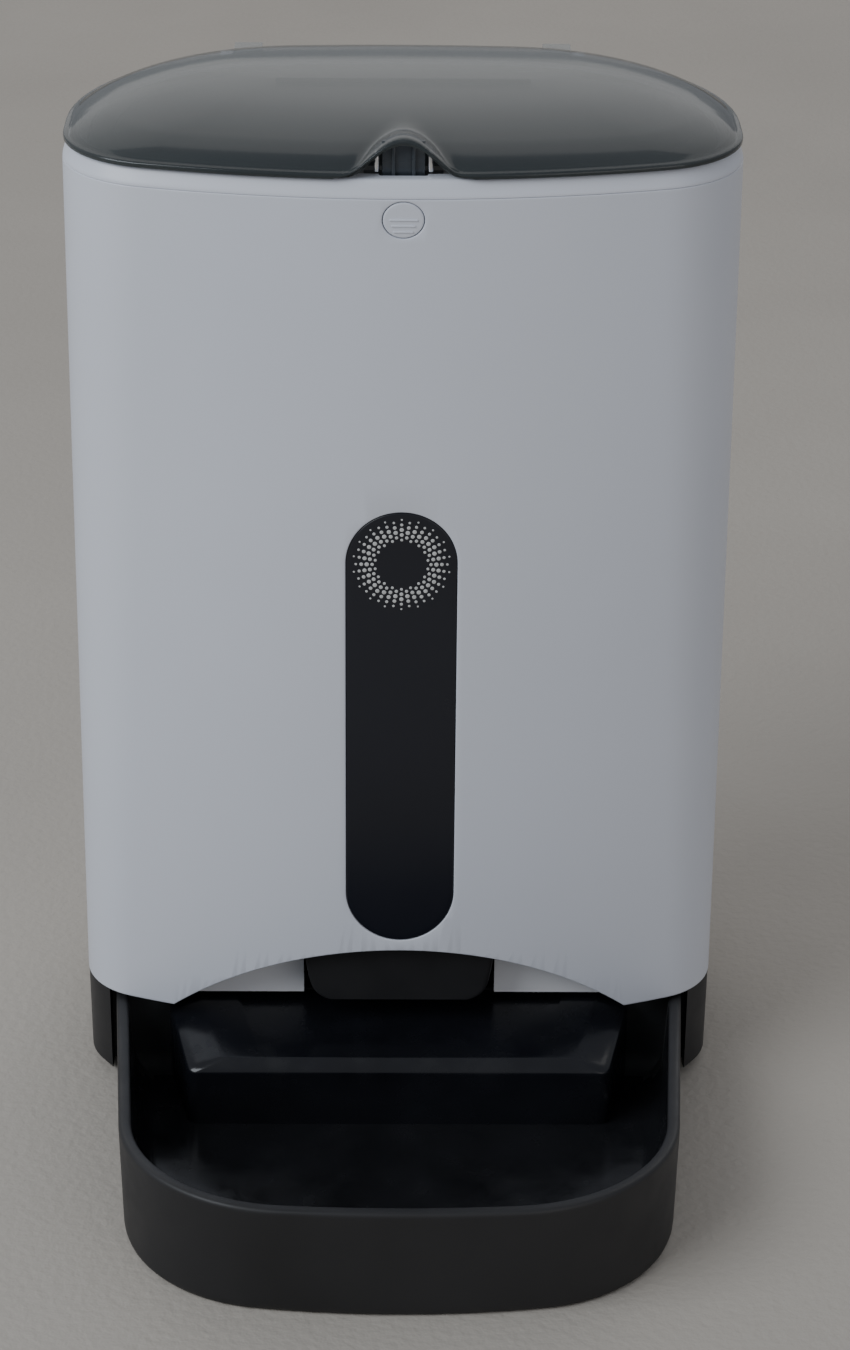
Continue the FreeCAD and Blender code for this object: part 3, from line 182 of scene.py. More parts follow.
CAD_FINISH = {
    "black_plastic": ("base", "chute", "battery_door"),
    "inner_white": ("inner_front_panel",),
    "tank_plastic": ("hopper",),
    "grey_plastic": ("rotor_housing", "rotor_hub", "mechanism_deck", "latch_bracket", "battery_box"),
    "soft_vane": ("rotor_vanes",),
    "steel": ("button_spring", "agitator", "drive_shaft", "motor_shaft", "idler_axle", "gearbox_screws",
              "motor_screws", "base_screws", "gear_plate"),
    "bright_steel": ("hinge_pins", "gear_motor", "battery_springs", "battery_plates"),
    "gear_plastic": ("output_gear", "idler_gear", "motor_pinion"),
    "brass": ("shaft_bush",),
    "seal_rubber": ("rubber_feet", "lid_gasket"),
    "clear_smoke": ("hinge_arms",),
    "cell_label": ("battery_1", "battery_2", "battery_3"),
    "board_green": ("control_board", "key_board"),
    "chip_black": ("board_components", "key_switches", "speaker", "speaker_cone", "dc_jack"),
    "white_shell": ("setup_key", "record_key", "housing_shell", "top_rim", "release_button"),
    "black_gloss": ("front_panel",),
}
for finish_name, node_names in CAD_FINISH.items():
    for node_name in node_names:
        cad_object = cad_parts[node_name]
        cad_object.data.materials.clear()
        cad_object.data.materials.append(MATERIALS[finish_name])


# ---------------------------------------------------------------- mesh code
def arc(x, y, radius, start, end, steps):
    """Points of an arc from one angle to another, without its last point."""
    turn = (end - start) / steps
    return [(x + radius * math.cos(start + n * turn), y + radius * math.sin(start + n * turn))
            for n in range(steps)]


def line(start, end, steps):
    """Points of a straight run, without its last point."""
    return [(start[0] + (end[0] - start[0]) * n / steps, start[1] + (end[1] - start[1]) * n / steps)
            for n in range(steps)]


def mirrored(right):
    """Close a plan from its right half, which runs from the middle of the front to the middle of the back."""
    return right + [(-x, y) for x, y in reversed(right[1:-1])]


PLAN_STEPS = (36, 12, 8, 16, 24)


def plan(half, front, rear, bow, corner, back_bow, back_corner, steps=PLAN_STEPS):
    """Plan with a bowed front and back, round corners and straight sides."""
    front_mid = front + bow
    back_mid = rear - back_bow
    corner_y = front_mid - math.sqrt((bow - corner) ** 2 - (half - corner) ** 2)
    back_y = back_mid + math.sqrt((back_bow - back_corner) ** 2 - (half - back_corner) ** 2)
    turn_front = math.atan2(corner_y - front_mid, half - corner)
    turn_back = math.atan2(back_y - back_mid, half - back_corner)
    right = arc(0, front_mid, bow, -math.pi / 2, turn_front, steps[0])
    right += arc(half - corner, corner_y, corner, turn_front, 0, steps[1])
    right += line((half, corner_y), (half, back_y), steps[2])
    right += arc(half - back_corner, back_y, back_corner, 0, turn_back, steps[3])
    right += arc(0, back_mid, back_bow, turn_back, math.pi / 2, steps[4])
    right.append((0, rear))
    return mirrored(right)


def at_level(points, z):
    """Plan points placed at a level."""
    return [Vector((x, y, z)) for x, y in points]


def gathered(ring, ends, y, share):
    """Ring moved a share of the way to a line along X between -ends and ends."""
    return [p.lerp(Vector((max(-ends, min(ends, p.x * 0.6)), y, p.z)), share) for p in ring]


def skin(rings, closed=False, caps=(True, True)):
    """Quads between rings that have the same number of points."""
    mesh = bmesh.new()
    rows = [[mesh.verts.new(p * MM) for p in ring] for ring in rings]
    pairs = list(zip(rows, rows[1:]))
    if closed:
        pairs.append((rows[-1], rows[0]))
    for low, high in pairs:
        for n in range(len(low)):
            m = (n + 1) % len(low)
            mesh.faces.new((low[n], low[m], high[m], high[n]))
    if not closed and caps[0]:
        mesh.faces.new(tuple(reversed(rows[0])))
    if not closed and caps[1]:
        mesh.faces.new(tuple(rows[-1]))
    bmesh.ops.remove_doubles(mesh, verts=mesh.verts, dist=1e-7)
    bmesh.ops.dissolve_degenerate(mesh, edges=mesh.edges, dist=1e-8)
    bmesh.ops.recalc_face_normals(mesh, faces=mesh.faces)
    return mesh


def smooth(mesh, angle=32):
    """Smooth shading with edges sharper than the angle kept crisp."""
    for face in mesh.faces:
        face.smooth = True
    for edge in mesh.edges:
        edge.smooth = len(edge.link_faces) == 2 and edge.calc_face_angle(0) < math.radians(angle)


def to_object(name, mesh, material, angle=32):
    """Object in the scene from a finished mesh, with one material."""
    smooth(mesh, angle)
    data = bpy.data.meshes.new(name)
    mesh.to_mesh(data)
    mesh.free()
    item = bpy.data.objects.new(name, data)
    bpy.context.scene.collection.objects.link(item)
    data.materials.append(MATERIALS[material])
    return item


def piece(item, body, slot, *nodes):
    """Let a finished object ride on its body, in place of its CAD nodes."""
    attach(item, body)
    if nodes:
        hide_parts(*nodes)
    return item


def carve(item, *tools, angle=32):
    """Cut tools out of an object and shade it again."""
    for tool in tools:
        modifier = item.modifiers.new("cut", "BOOLEAN")
        modifier.operation = "DIFFERENCE"
        modifier.solver = "EXACT"
        modifier.object = tool
    shown = item.evaluated_get(bpy.context.evaluated_depsgraph_get())
    data = bpy.data.meshes.new_from_object(shown)
    item.modifiers.clear()
    item.data = data
    for tool in tools:
        bpy.data.objects.remove(tool)
    mesh = bmesh.new()
    mesh.from_mesh(data)
    bmesh.ops.remove_doubles(mesh, verts=mesh.verts, dist=2e-6)
    bmesh.ops.dissolve_degenerate(mesh, edges=mesh.edges, dist=1e-6)
    smooth(mesh, angle)
    mesh.to_mesh(data)
    mesh.free()
    return item


def join(mesh, other):
    """Add one bmesh to another."""
    data = bpy.data.meshes.new("joined")
    other.to_mesh(data)
    other.free()
    mesh.from_mesh(data)
    bpy.data.meshes.remove(data)
    return mesh


def block(low, high, radius=0.4, steps=2):
    """Box with rounded edges."""
    mesh = bmesh.new()
    bmesh.ops.create_cube(mesh, size=1)
    low, high = Vector(low), Vector(high)
    centre, size = (low + high) / 2, high - low
    for vert in mesh.verts:
        vert.co = Vector(c * s + m for c, s, m in zip(vert.co, size, centre)) * MM
    bmesh.ops.bevel(mesh, geom=mesh.edges, offset=radius * MM, segments=steps, profile=0.5, affect="EDGES")
    return mesh


def lathe(profile, x, y, z, axis="Y", steps=48):
    """Solid of revolution from (distance along the axis, radius) pairs."""
    rings = []
    for along, radius in profile:
        ring = []
        for n in range(steps):
            turn = 2 * math.pi * n / steps
            u, v = radius * math.cos(turn), radius * math.sin(turn)
            ring.append({"X": Vector((x + along, y + u, z + v)), "Y": Vector((x + u, y + along, z + v)),
                         "Z": Vector((x + u, y + v, z + along))}[axis])
        rings.append(ring)
    return skin(rings)


# ---------------------------------------------------------------- housing
shell_low, shell_high = node_box("housing_shell")
FOOT, TOP = shell_low.z, shell_high.z
WALL = 2.6
FOOT_PLAN = (shell_high.x, -13.0, 137.5, 267, 26, 600, 62)
TOP_PLAN = (113.8, -3.2, 134.8, 336, 36, 600, 80)


def housing_sizes(z, inset=0.0):
    """Half width, front, rear, bow, corner, back bow and back corner of the housing's plan at a level."""
    share = (z - FOOT) / (TOP - FOOT)
    half, front, rear, bow, corner, back_bow, back_corner = (
        a + (b - a) * share for a, b in zip(FOOT_PLAN, TOP_PLAN))
    return (half - inset, front + inset, rear - inset, bow - inset, corner - inset, back_bow - inset,
            back_corner - inset)


def housing_ring(z, inset, steps=PLAN_STEPS):
    """Ring of the housing at a level; above the top it keeps the top's plan."""
    return at_level(plan(*housing_sizes(min(z, TOP), inset), steps), z)


def front_y(x, z):
    """Y of the housing's front surface."""
    _, front, _, bow, *_ = housing_sizes(z)
    return front + bow - math.sqrt(bow ** 2 - x ** 2)


def back_y(x, z):
    """Y of the housing's rear surface."""
    _, _, rear, _, _, back_bow, _ = housing_sizes(z)
    return rear - back_bow + math.sqrt(back_bow ** 2 - x ** 2)


def stadium(x, z, half_wide, half_tall, grow=0.0, steps=24):
    """Slot or pill outline in the XZ plane, as closed points."""
    radius = min(half_wide, half_tall)
    dx, dz = half_wide - radius, half_tall - radius
    points = []
    for n in range(4):
        sign_x, sign_z = ((1, 1), (-1, 1), (-1, -1), (1, -1))[n]
        start = n * math.pi / 2
        for m in range(steps):
            turn = start + math.pi / 2 * m / (steps - 1)
            points.append((x + sign_x * dx + (radius + grow) * math.cos(turn),
                           z + sign_z * dz + (radius + grow) * math.sin(turn)))
    return points


def oval(x, z, half_wide, half_tall, grow=0.0, steps=96):
    """Oval outline in the XZ plane, as closed points."""
    return [(x + (half_wide + grow) * math.cos(2 * math.pi * n / steps),
             z + (half_tall + grow) * math.sin(2 * math.pi * n / steps)) for n in range(steps)]


def inlaid(points, surface_y, depth):
    """Outline laid on a surface and moved along Y by a depth."""
    return [Vector((x, surface_y(x, z) + depth, z)) for x, z in points]


EDGE = 0.45
ROUNDED = ((-34, EDGE), (-0.001, EDGE), (0.06, 0.225), (0.13, 0.13), (0.24, 0.05), (EDGE, 0), (9, 0))


def hole_tool(name, outline, surface_y, inward=1):
    """Cutter whose mouth is rounded where it meets the surface."""
    rings = [inlaid(outline(grow), surface_y, depth * inward) for depth, grow in ROUNDED]
    return to_object(name, skin(rings), "white_shell")


ARCH_RADIUS, ARCH_CENTRE, ARCH_FLOOR = 125.4, -57.8, 26
ARCH_POINTS = 48


def arch_outline(grow):
    """Arch over the tray: a wide arc, closed below the housing's foot."""
    radius = ARCH_RADIUS + grow
    reach = math.acos((ARCH_FLOOR - ARCH_CENTRE) / radius)
    points = []
    for n in range(ARCH_POINTS + 1):
        turn = reach * (n / ARCH_POINTS * 2 - 1)
        points.append((radius * math.sin(turn), ARCH_CENTRE + radius * math.cos(turn)))
    return points + line(points[-1], points[0], ARCH_POINTS)[1:]


PANEL_LOW, PANEL_HIGH = 72.0, 235.6
PANEL_HALF = 18.8
PANEL_MID = (PANEL_LOW + PANEL_HIGH) / 2
PANEL_TALL = (PANEL_HIGH - PANEL_LOW) / 2
BUTTON_Z = 338.0
BUTTON_WIDE, BUTTON_TALL = 6.75, 6.0
KEY_Z, KEY_X, KEY_RADIUS = 72.0, 14.0, 5.0

wall_levels = [FOOT + 0.9 + (TOP - FOOT - 1.6) * n / 22 for n in range(23)]
shell_profile = [(FOOT, WALL), (FOOT, 0.55), (FOOT + 0.08, 0.3), (FOOT + 0.25, 0.1), (FOOT + 0.5, 0.02)]
shell_profile += [(z, 0) for z in wall_levels]
shell_profile += [(TOP - 0.35, 0), (TOP - 0.15, 0.06), (TOP - 0.03, 0.2), (TOP, 0.4), (TOP, WALL)]
shell_profile += [(TOP - (TOP - FOOT) * n / 8, WALL) for n in range(1, 8)]
shell = to_object("housing_shell_skin", skin([housing_ring(z, inset) for z, inset in shell_profile], True),
                  "white_shell")
carve(
    shell,
    hole_tool("arch_tool", arch_outline, front_y),
    hole_tool("panel_tool", lambda grow: stadium(0, PANEL_MID, PANEL_HALF, PANEL_TALL, grow + 0.2), front_y),
    hole_tool("button_tool", lambda grow: oval(0, BUTTON_Z, BUTTON_WIDE, BUTTON_TALL, grow + 0.25), front_y),
    *[hole_tool(f"key_tool_{n}", lambda grow, side=side: stadium(side * KEY_X, KEY_Z, KEY_RADIUS, KEY_RADIUS,
                                                                  grow + 0.25), back_y, -1)
      for n, side in enumerate((-1, 1))])
piece(shell, "housing", "white_shell", "housing_shell")


def inlay(outline, surface_y, lift, thick, edge, half_wide):
    """Closed plate that follows the housing: rounded edge, rings in to its middle and a flat back."""
    rings = [inlaid(outline(-half_wide * share), surface_y, thick) for share in (0.98, 0.5)]
    rings.append(inlaid(outline(0), surface_y, thick))
    for n in range(5):
        turn = math.pi / 2 * n / 4
        level = lift + edge * (1 - math.sin(turn))
        rings.append(inlaid(outline(-edge * (1 - math.cos(turn))), surface_y, level))
    rings += [inlaid(outline(-edge - (half_wide - edge) * n / 10), surface_y, lift) for n in range(1, 10)]
    rings.append(inlaid(outline(-half_wide * 0.98), surface_y, lift))
    return skin(rings)


panel_plate = inlay(lambda grow: stadium(0, PANEL_MID, PANEL_HALF, PANEL_TALL, grow), front_y,
                    0.12, 3, 0.4, PANEL_HALF)
panel = to_object("front_panel_plate", panel_plate, "black_gloss")
piece(panel, "housing", "black_gloss", "front_panel")

# ring of speaker dots, each row turned by half a step; the largest dots are in the middle rows
SPEAKER_Z = 216.8
DOTS_INNER, DOTS_OUTER = 9.05, 16.4
DOT_SIZES = (0.5, 0.58, 0.67, 0.75, 0.72, 0.64, 0.54, 0.44, 0.35)
DOTS_IN_ROW = 18
dots = bmesh.new()
for row, size in enumerate(DOT_SIZES):
    radius = DOTS_INNER + (DOTS_OUTER - DOTS_INNER) * row / (len(DOT_SIZES) - 1)
    for n in range(DOTS_IN_ROW):
        turn = 2 * math.pi * (n + (row % 2) / 2) / DOTS_IN_ROW
        x = radius * math.sin(turn)
        z = SPEAKER_Z + radius * math.cos(turn)
        rings = [inlaid(stadium(x, z, size * share, size * share, 0, 4), front_y, depth)
                 for share, depth in ((1, 0.3), (1, 0.09), (0.86, 0.03), (0.5, 0.01), (0.1, 0.005))]
        join(dots, skin(rings))
piece(to_object("speaker_dots", dots, "print_white"), "housing", "white_shell")

# release button: a domed cap with three fine ribs in its lower half
button = inlay(lambda grow: oval(0, BUTTON_Z, BUTTON_WIDE, BUTTON_TALL, grow), front_y, 0.1, 3.4, 0.5,
               BUTTON_TALL)
for n in range(3):
    z = BUTTON_Z - 2 * n + 0.1
    half = 5.0 - 0.7 * n
    rings = [inlaid(stadium(0, z, half - 0.3 + grow, 0.3 + grow, 0, 6), front_y, depth)
             for depth, grow in ((0.4, 0), (-0.05, 0), (-0.24, -0.06), (-0.32, -0.18))]
    join(button, skin(rings))
button_stem = ((1.9, 0.5), (1.9, 6.6), (3.1, 6.6), (3.1, 1.8), (6.0, 1.8), (6.0, 0.5))
join(button, lathe(button_stem, 0, front_y(0, BUTTON_Z), BUTTON_Z))
piece(to_object("button_cap", button, "white_shell"), "button", "white_shell", "release_button")

# ---------------------------------------------------------------- top rim
RIM = node_box("housing_shell")[1].z + 6
rim_profile = (
    (TOP + 0.06, 2.9), (TOP + 0.06, 0.35), (TOP + 0.1, 0.16), (TOP + 0.25, 0.05), (TOP + 0.6, 0.06),
    (TOP + 1.2, 0.22), (TOP + 2.0, 0.6), (TOP + 3.4, 1.25), (TOP + 4.9, 1.95), (TOP + 5.45, 2.25),
    (TOP + 5.8, 2.6), (TOP + 5.95, 3.0), (RIM, 3.5), (RIM, 8.2), (RIM - 0.15, 8.45), (RIM - 2.35, 8.6),
    (RIM - 2.5, 8.8), (RIM - 2.5, 11.7), (RIM - 2.7, 12), (TOP + 1.1, 12), (TOP + 1, 11.8), (TOP + 1, 5.7),
    (TOP - 4.9, 5.6), (TOP - 5, 5.4), (TOP - 5, 3.3), (TOP - 4.9, 3.1))
rim_rings = [housing_ring(z, inset) for z, inset in rim_profile]
rim = to_object("top_rim_band", skin(rim_rings, True), "white_shell")
carve(rim, to_object("slot_tool", block((-8, 3.2, TOP - 8), (8, 9.6, RIM + 9), 0.8), "white_shell"),
      to_object("gap_tool", block((-18, -2, TOP - 8), (18, 7, TOP), 0.3), "white_shell"))
HINGE_Y, HINGE_Z, KNUCKLE = 138.5, 348.0, 3.0
ears = bmesh.new()
for side in (-1, 1):
    for shift in (-1, 1):
        middle = side * 55 + shift * 7.65
        outline = [(HINGE_Y - 7, HINGE_Z - KNUCKLE), (HINGE_Y - 7, HINGE_Z + KNUCKLE)]
        for n in range(17):
            turn = math.pi * n / 16
            outline.append((HINGE_Y + KNUCKLE * math.sin(turn), HINGE_Z + KNUCKLE * math.cos(turn)))
        rings = []
        for x, shrink in ((-2.3, 0.35), (-2.15, 0.1), (-1.95, 0), (1.95, 0), (2.15, 0.1), (2.3, 0.35)):
            rings.append([Vector((middle + x, HINGE_Y + (y - HINGE_Y) * (1 - shrink / KNUCKLE),
                                  HINGE_Z + (z - HINGE_Z) * (1 - shrink / KNUCKLE))) for y, z in outline])
        join(ears, skin(rings))
piece(rim, "housing", "white_shell", "top_rim")
piece(to_object("hinge_ears", ears, "white_shell"), "housing", "white_shell")

# ---------------------------------------------------------------- lid
LID_LOW = node_box("lid")[0].z
LID_STEPS = (72, 14, 8, 16, 24)
ARCH_HALF, BUMP_HALF = 23.0, 24.5


def bell(x, half):
    """Raised cosine over the finger arch, 1 in the middle and 0 at its ends."""
    return 0.5 * (1 + math.cos(math.pi * x / half)) if abs(x) < half else 0.0


def soft_max(a, b, blend):
    """Larger of two numbers with a rounded hollow between them."""
    share = clamp(0.5 + (a - b) / (2 * blend))
    return b + (a - b) * share + blend * share * (1 - share)


LID_RINGS = (  # inset, height of the dome, height of the finger arch
    (0.45, 0.0, 10.2), (0.4, 0.5, 10.7), (0.42, 1.1, 11.2), (0.6, 1.55, 11.7), (1.1, 1.8, 12.1),
    (1.8, 1.9, 12.3), (2.5, 2.2, 12.4), (3.6, 3.0, 12.4), (5.2, 4.0, 12.4), (7.2, 5.0, 12.2),
    (9.6, 6.0, 11.9), (12.0, 6.85, 11.5), (13.6, 7.35, 11.2), (14.8, 7.7, 11.0), (16.4, 8.05, 10.7),
    (19.5, 8.7, 10.2), (24, 9.5, 9.8), (30, 10.4, 9.6), (36, 11.1, 9.4), (42, 11.6, 9.2))


CORNER_STOPS = ((0, 36, 79), (5, 34, 75), (14, 32, 64), (34, 26, 30), (42, 20, 20))  # inset, front, back


def corner_radii(inset):
    """Radii of the lid's front and back corners, smaller towards its crown."""
    for (start, front_a, back_a), (end, front_b, back_b) in zip(CORNER_STOPS, CORNER_STOPS[1:]):
        if inset <= end:
            share = (inset - start) / (end - start)
            return front_a + (front_b - front_a) * share, back_a + (back_b - back_a) * share
    return CORNER_STOPS[-1][1:]


def lid_ring(inset, dome, arch):
    """One ring of the lid: its outline, dome height and the arch that rises at the front."""
    half, front, rear, bow, _, back_bow, _ = housing_sizes(TOP, inset)
    corner, back_corner = corner_radii(inset)
    arch_half = ARCH_HALF + (BUMP_HALF - ARCH_HALF) * clamp(inset / 9)
    ring = []
    for x, y in plan(half, front, rear, bow, corner, back_bow, back_corner, LID_STEPS):
        rise = bell(x, arch_half) if y < 40 else 0.0
        height = soft_max(dome, arch * rise, 1.2) if rise > 0 else dome
        ring.append(Vector((x, y + 4.0 * rise * clamp(1 - inset / 26), LID_LOW + min(height, 12.5))))
    return ring


lid_rings = [lid_ring(*row) for row in LID_RINGS]
last = lid_rings[-1]
for share, height in ((0.3, 12.0), (0.6, 12.25), (0.85, 12.38), (1.0, 12.4)):
    ring = gathered(last, 52, 66, share)
    lid_rings.append([Vector((p.x, p.y, LID_LOW + height)) for p in ring])
lid_skin = to_object("lid_dome", skin(lid_rings, caps=(False, False)), "clear_smoke", 60)
thicken = lid_skin.modifiers.new("wall", "SOLIDIFY")
thicken.thickness = 1.7 * MM
thicken.offset = -1
thicken.use_even_offset = False
thicken.use_quality_normals = True
lid_skin.data = bpy.data.meshes.new_from_object(
    lid_skin.evaluated_get(bpy.context.evaluated_depsgraph_get()))
lid_skin.modifiers.clear()
piece(lid_skin, "lid_assembly", "clear_smoke", "lid")

# dark seal seated in the lid's edge, rising with the arch
seal_rings = [lid_ring(inset, rise, 10.2 + rise) for inset, rise in (
    (0.9, 0.3), (0.8, 0.7), (0.9, 1.1), (1.4, 1.25), (1.9, 1.1), (2.0, 0.7), (1.9, 0.3), (1.4, 0.15))]
piece(to_object("lid_seal", skin(seal_rings, True), "seal_rubber"), "lid_assembly", "clear_smoke")

# two slim posts beside the tongue
posts_low, posts_high = node_box("latch_posts")
posts = bmesh.new()
post_tall = posts_high.z - posts_low.z
POST_X = 8.8
post_profile = ((0, 0.3), (0, 1.0), (post_tall - 3.6, 1.0), (post_tall - 3.0, 0.85), (post_tall - 2.6, 0.5),
                (post_tall - 2.5, 0.15))
for side in (-1, 1):
    join(posts, lathe(post_profile, side * POST_X, (posts_low.y + posts_high.y) / 2, posts_low.z, "Z", 32))
piece(to_object("latch_pegs", posts, "bright_steel"), "lid_assembly", "bright_steel", "latch_posts")

# latch tongue under the arch, with its ribs and the hook at its foot
tongue_top = node_box("lid_latch")[1].z
tongue = block((-7, 4.6, TOP + 0.6), (7, 6.4, tongue_top), 0.4)
for side in (-1, 1):
    join(tongue, block((side * 3.3 - 0.6, 3.4, TOP + 3), (side * 3.3 + 0.6, 4.9, tongue_top - 0.4), 0.3))
join(tongue, block((-5.5, 6.0, TOP + 0.6), (5.5, 7.4, TOP + 2.6), 0.4))
piece(to_object("latch_tongue", tongue, "latch_smoke"), "lid_assembly", "clear_smoke", "lid_latch")

# ---------------------------------------------------------------- tray
tray_low, tray_high = node_box("feeding_tray")
TRAY_REAR, TRAY_FRONT = tray_high.y, tray_low.y
FLARE = math.radians(4.43)
SLOPE = math.tan(math.radians(2.6))
RIM_FRONT = tray_high.z
TRAY_FLOOR = 3.0
TRAY_TOP = 48  # level of the upper plan
LOW_PLAN = (102.9, -135.6, 330, 54)  # half width, front, bow and corner at the floor
HIGH_PLAN = (104.1, TRAY_FRONT, 560, 63)
TRAY_STEPS = (30, 26, 26, 22)


@functools.cache
def tray_plan(z, inset):
    """D-shaped plan of the tray at a level, moved in by inset."""
    share = z / TRAY_TOP
    half, front, bow, corner = (a + (b - a) * share for a, b in zip(LOW_PLAN, HIGH_PLAN))
    half -= inset / math.cos(FLARE)
    front += inset
    bow -= inset
    corner = max(corner - inset, 8)
    rear = TRAY_REAR - inset
    mid = front + bow
    along = Vector((math.sin(FLARE), math.cos(FLARE)))
    across = Vector((-math.cos(FLARE), math.sin(FLARE)))
    start = Vector((half, rear)) + across * corner
    gap = start - Vector((0, mid))
    reach = gap.dot(along)
    shift = -reach - math.sqrt(reach ** 2 - gap.dot(gap) + (bow - corner) ** 2)
    centre = start + along * shift
    touch = centre - across * corner
    turn = math.atan2(centre.y - mid, centre.x)
    right = arc(0, mid, bow, -math.pi / 2, turn, TRAY_STEPS[0])
    right += arc(centre.x, centre.y, corner, turn, -FLARE, TRAY_STEPS[1])
    right += line(touch, (half, rear), TRAY_STEPS[2])
    right += line((half, rear), (0, rear), TRAY_STEPS[3])
    right.append((0, rear))
    return mirrored(right)


EDGE_LEVEL = 42  # level whose plan gives the edge's depth


def tray_edge(y):
    """Height of the tray's sloping edge."""
    return RIM_FRONT - SLOPE * (y - TRAY_FRONT)


def on_wall(low, high, z):
    """Point of the tray's wall at a level, between its points at the floor and at the top."""
    mix = z / TRAY_TOP
    return Vector((low[0] + (high[0] - low[0]) * mix, low[1] + (high[1] - low[1]) * mix, z))


def tray_ring(share, drop, inset):
    """Ring at a share of the wall's height, lowered by drop and moved in by inset."""
    plans = [tray_plan(z, inset) for z in (0, TRAY_TOP, EDGE_LEVEL)]
    return [on_wall(low, high, (tray_edge(y) - drop) * share) for low, high, (_, y) in zip(*plans)]


def level_ring(z, inset):
    """Ring of the tray at one level."""
    return [on_wall(low, high, z) for low, high in zip(tray_plan(0, inset), tray_plan(TRAY_TOP, inset))]


tray_rings = [level_ring(0.0, 4.2), level_ring(0.0, 2.2), level_ring(0.3, 1.2), level_ring(1.0, 0.5),
              level_ring(2.2, 0.1), level_ring(3.6, 0)]
tray_rings += [tray_ring(share, 0, 0) for share in (0.2, 0.4, 0.6, 0.8)]
for drop, inset in ((2.6, 0), (1.7, 0.03), (1.0, 0.2), (0.45, 0.6), (0.12, 1.15), (0, 1.8), (0, 2.6),
                    (0.02, 3.3), (0.12, 3.9), (0.4, 4.4), (0.9, 4.75), (1.6, 4.95), (2.4, 5.05)):
    tray_rings.append(tray_ring(1, drop, inset))
tray_rings += [tray_ring(1, drop, inset) for drop, inset in ((8, 5.2), (15, 5.4), (22, 5.6))]
for n in range(7):
    turn = math.pi / 2 * n / 6
    tray_rings.append(level_ring(TRAY_FLOOR + 7 * (1 - math.sin(turn)), 5.8 + 7 * (1 - math.cos(turn))))
floor_ring = tray_rings[-1]
under_ring = tray_rings[0]
tray_rings += [gathered(floor_ring, 40, -50, share) for share in (0.25, 0.5, 0.75, 1.0)]
under = [gathered(under_ring, 40, -50, share) for share in (1.0, 0.6, 0.3)]
tray = to_object("tray_bowl", skin(under + tray_rings, caps=(False, False)), "black_plastic")
tray.data.materials.append(MATERIALS["bowl_gloss"])
tray.data.materials.append(MATERIALS["seal_rubber"])
for polygon in tray.data.polygons:
    middle = polygon.center / MM
    inside = middle.z < tray_edge(middle.y) - 1.2 and polygon.normal.z > -0.2 and middle.z > 1.5
    centre_y = -50
    outward = Vector((middle.x, middle.y - centre_y, 0)).normalized()
    if inside and (polygon.normal.z > 0.5 or polygon.normal.dot(outward) < 0):
        polygon.material_index = 2 if middle.y > 4 else 1
piece(tray, "tray", "black_plastic", "feeding_tray")

# ramp under the chute: a sloping top with wide bevels at its sides and a rounded nose
RAMP_FRONT = -22.0


def ramp_top(y):
    """Height of the ramp's sloping top."""
    return min(29 + (y - RAMP_FRONT) * 6.4 / 31, tray_edge(y) - 0.4)


def rounded_polygon(corners, radius, steps=8, along=10):
    """Closed outline through corners, each rounded, with extra points on the straight runs."""
    points = []
    count = len(corners)
    ends = []
    for n in range(count):
        here, before, after = (Vector(corners[(n + k) % count]) for k in (0, -1, 1))
        a, b = (before - here).normalized(), (after - here).normalized()
        half = a.angle(b) / 2
        reach = min(radius / math.tan(half), (before - here).length * 0.45, (after - here).length * 0.45)
        ends.append((here + a * reach, here, here + b * reach))
    for n in range(count):
        start, here, end = ends[n]
        for m in range(steps + 1):
            t = m / steps
            points.append((start * (1 - t) ** 2 + here * 2 * t * (1 - t) + end * t ** 2).to_tuple())
        points += line(end, ends[(n + 1) % count][0], along)[1:]
    return points


def ramp_outline(grow, radius):
    """Plan of the ramp's top edge, grown outwards."""
    front_half, rear_half = 63 + grow * 1.05, 73 + grow
    return rounded_polygon(((-rear_half, TRAY_REAR - 5.3), (-front_half, RAMP_FRONT - grow * 0.3),
                            (front_half, RAMP_FRONT - grow * 0.3), (rear_half, TRAY_REAR - 5.3)), radius)


ramp_rings = []
for grow, height, radius in (
        (11.8, None, 5), (11.8, -4.6, 5), (11.5, -3.9, 5), (10.8, -3.3, 5), (8, -2.2, 4.4), (4, -1.0, 3.6),
        (1.6, -0.38, 3), (0.7, -0.15, 2.8), (0, -0.03, 2.6), (-0.9, 0.0, 2.4), (-4, 0, 2.2), (-12, 0, 2)):
    ring = []
    for x, y in ramp_outline(grow, radius):
        z = TRAY_FLOOR - 1 if height is None else ramp_top(y) + height
        ring.append(Vector((x, y, z)))
    ramp_rings.append(ring)
ramp = to_object("tray_ramp", skin(ramp_rings), "ramp_satin", 40)
piece(ramp, "tray", "black_gloss")

# ---------------------------------------------------------------- chute
chute_low, chute_high = node_box("chute")
CHUTE_CORNER = 6.0


def rounded_plan(half, front, back, radius, steps=5):
    """Rectangular plan with round corners."""
    return rounded_polygon(((-half, front), (half, front), (half, back), (-half, back)), radius, steps, 6)


MOUTH_HALF, DUCT_HALF, MOUTH_TALL = 30.6, 34, 16


def chute_half(z, inset):
    """Half width of the spout: narrower at its mouth, with round lower corners."""
    rise = z - chute_low.z
    half = MOUTH_HALF + (DUCT_HALF - MOUTH_HALF) * clamp(rise / MOUTH_TALL)
    if rise < CHUTE_CORNER:
        half -= CHUTE_CORNER - math.sqrt(CHUTE_CORNER ** 2 - (CHUTE_CORNER - rise) ** 2)
    return half - inset


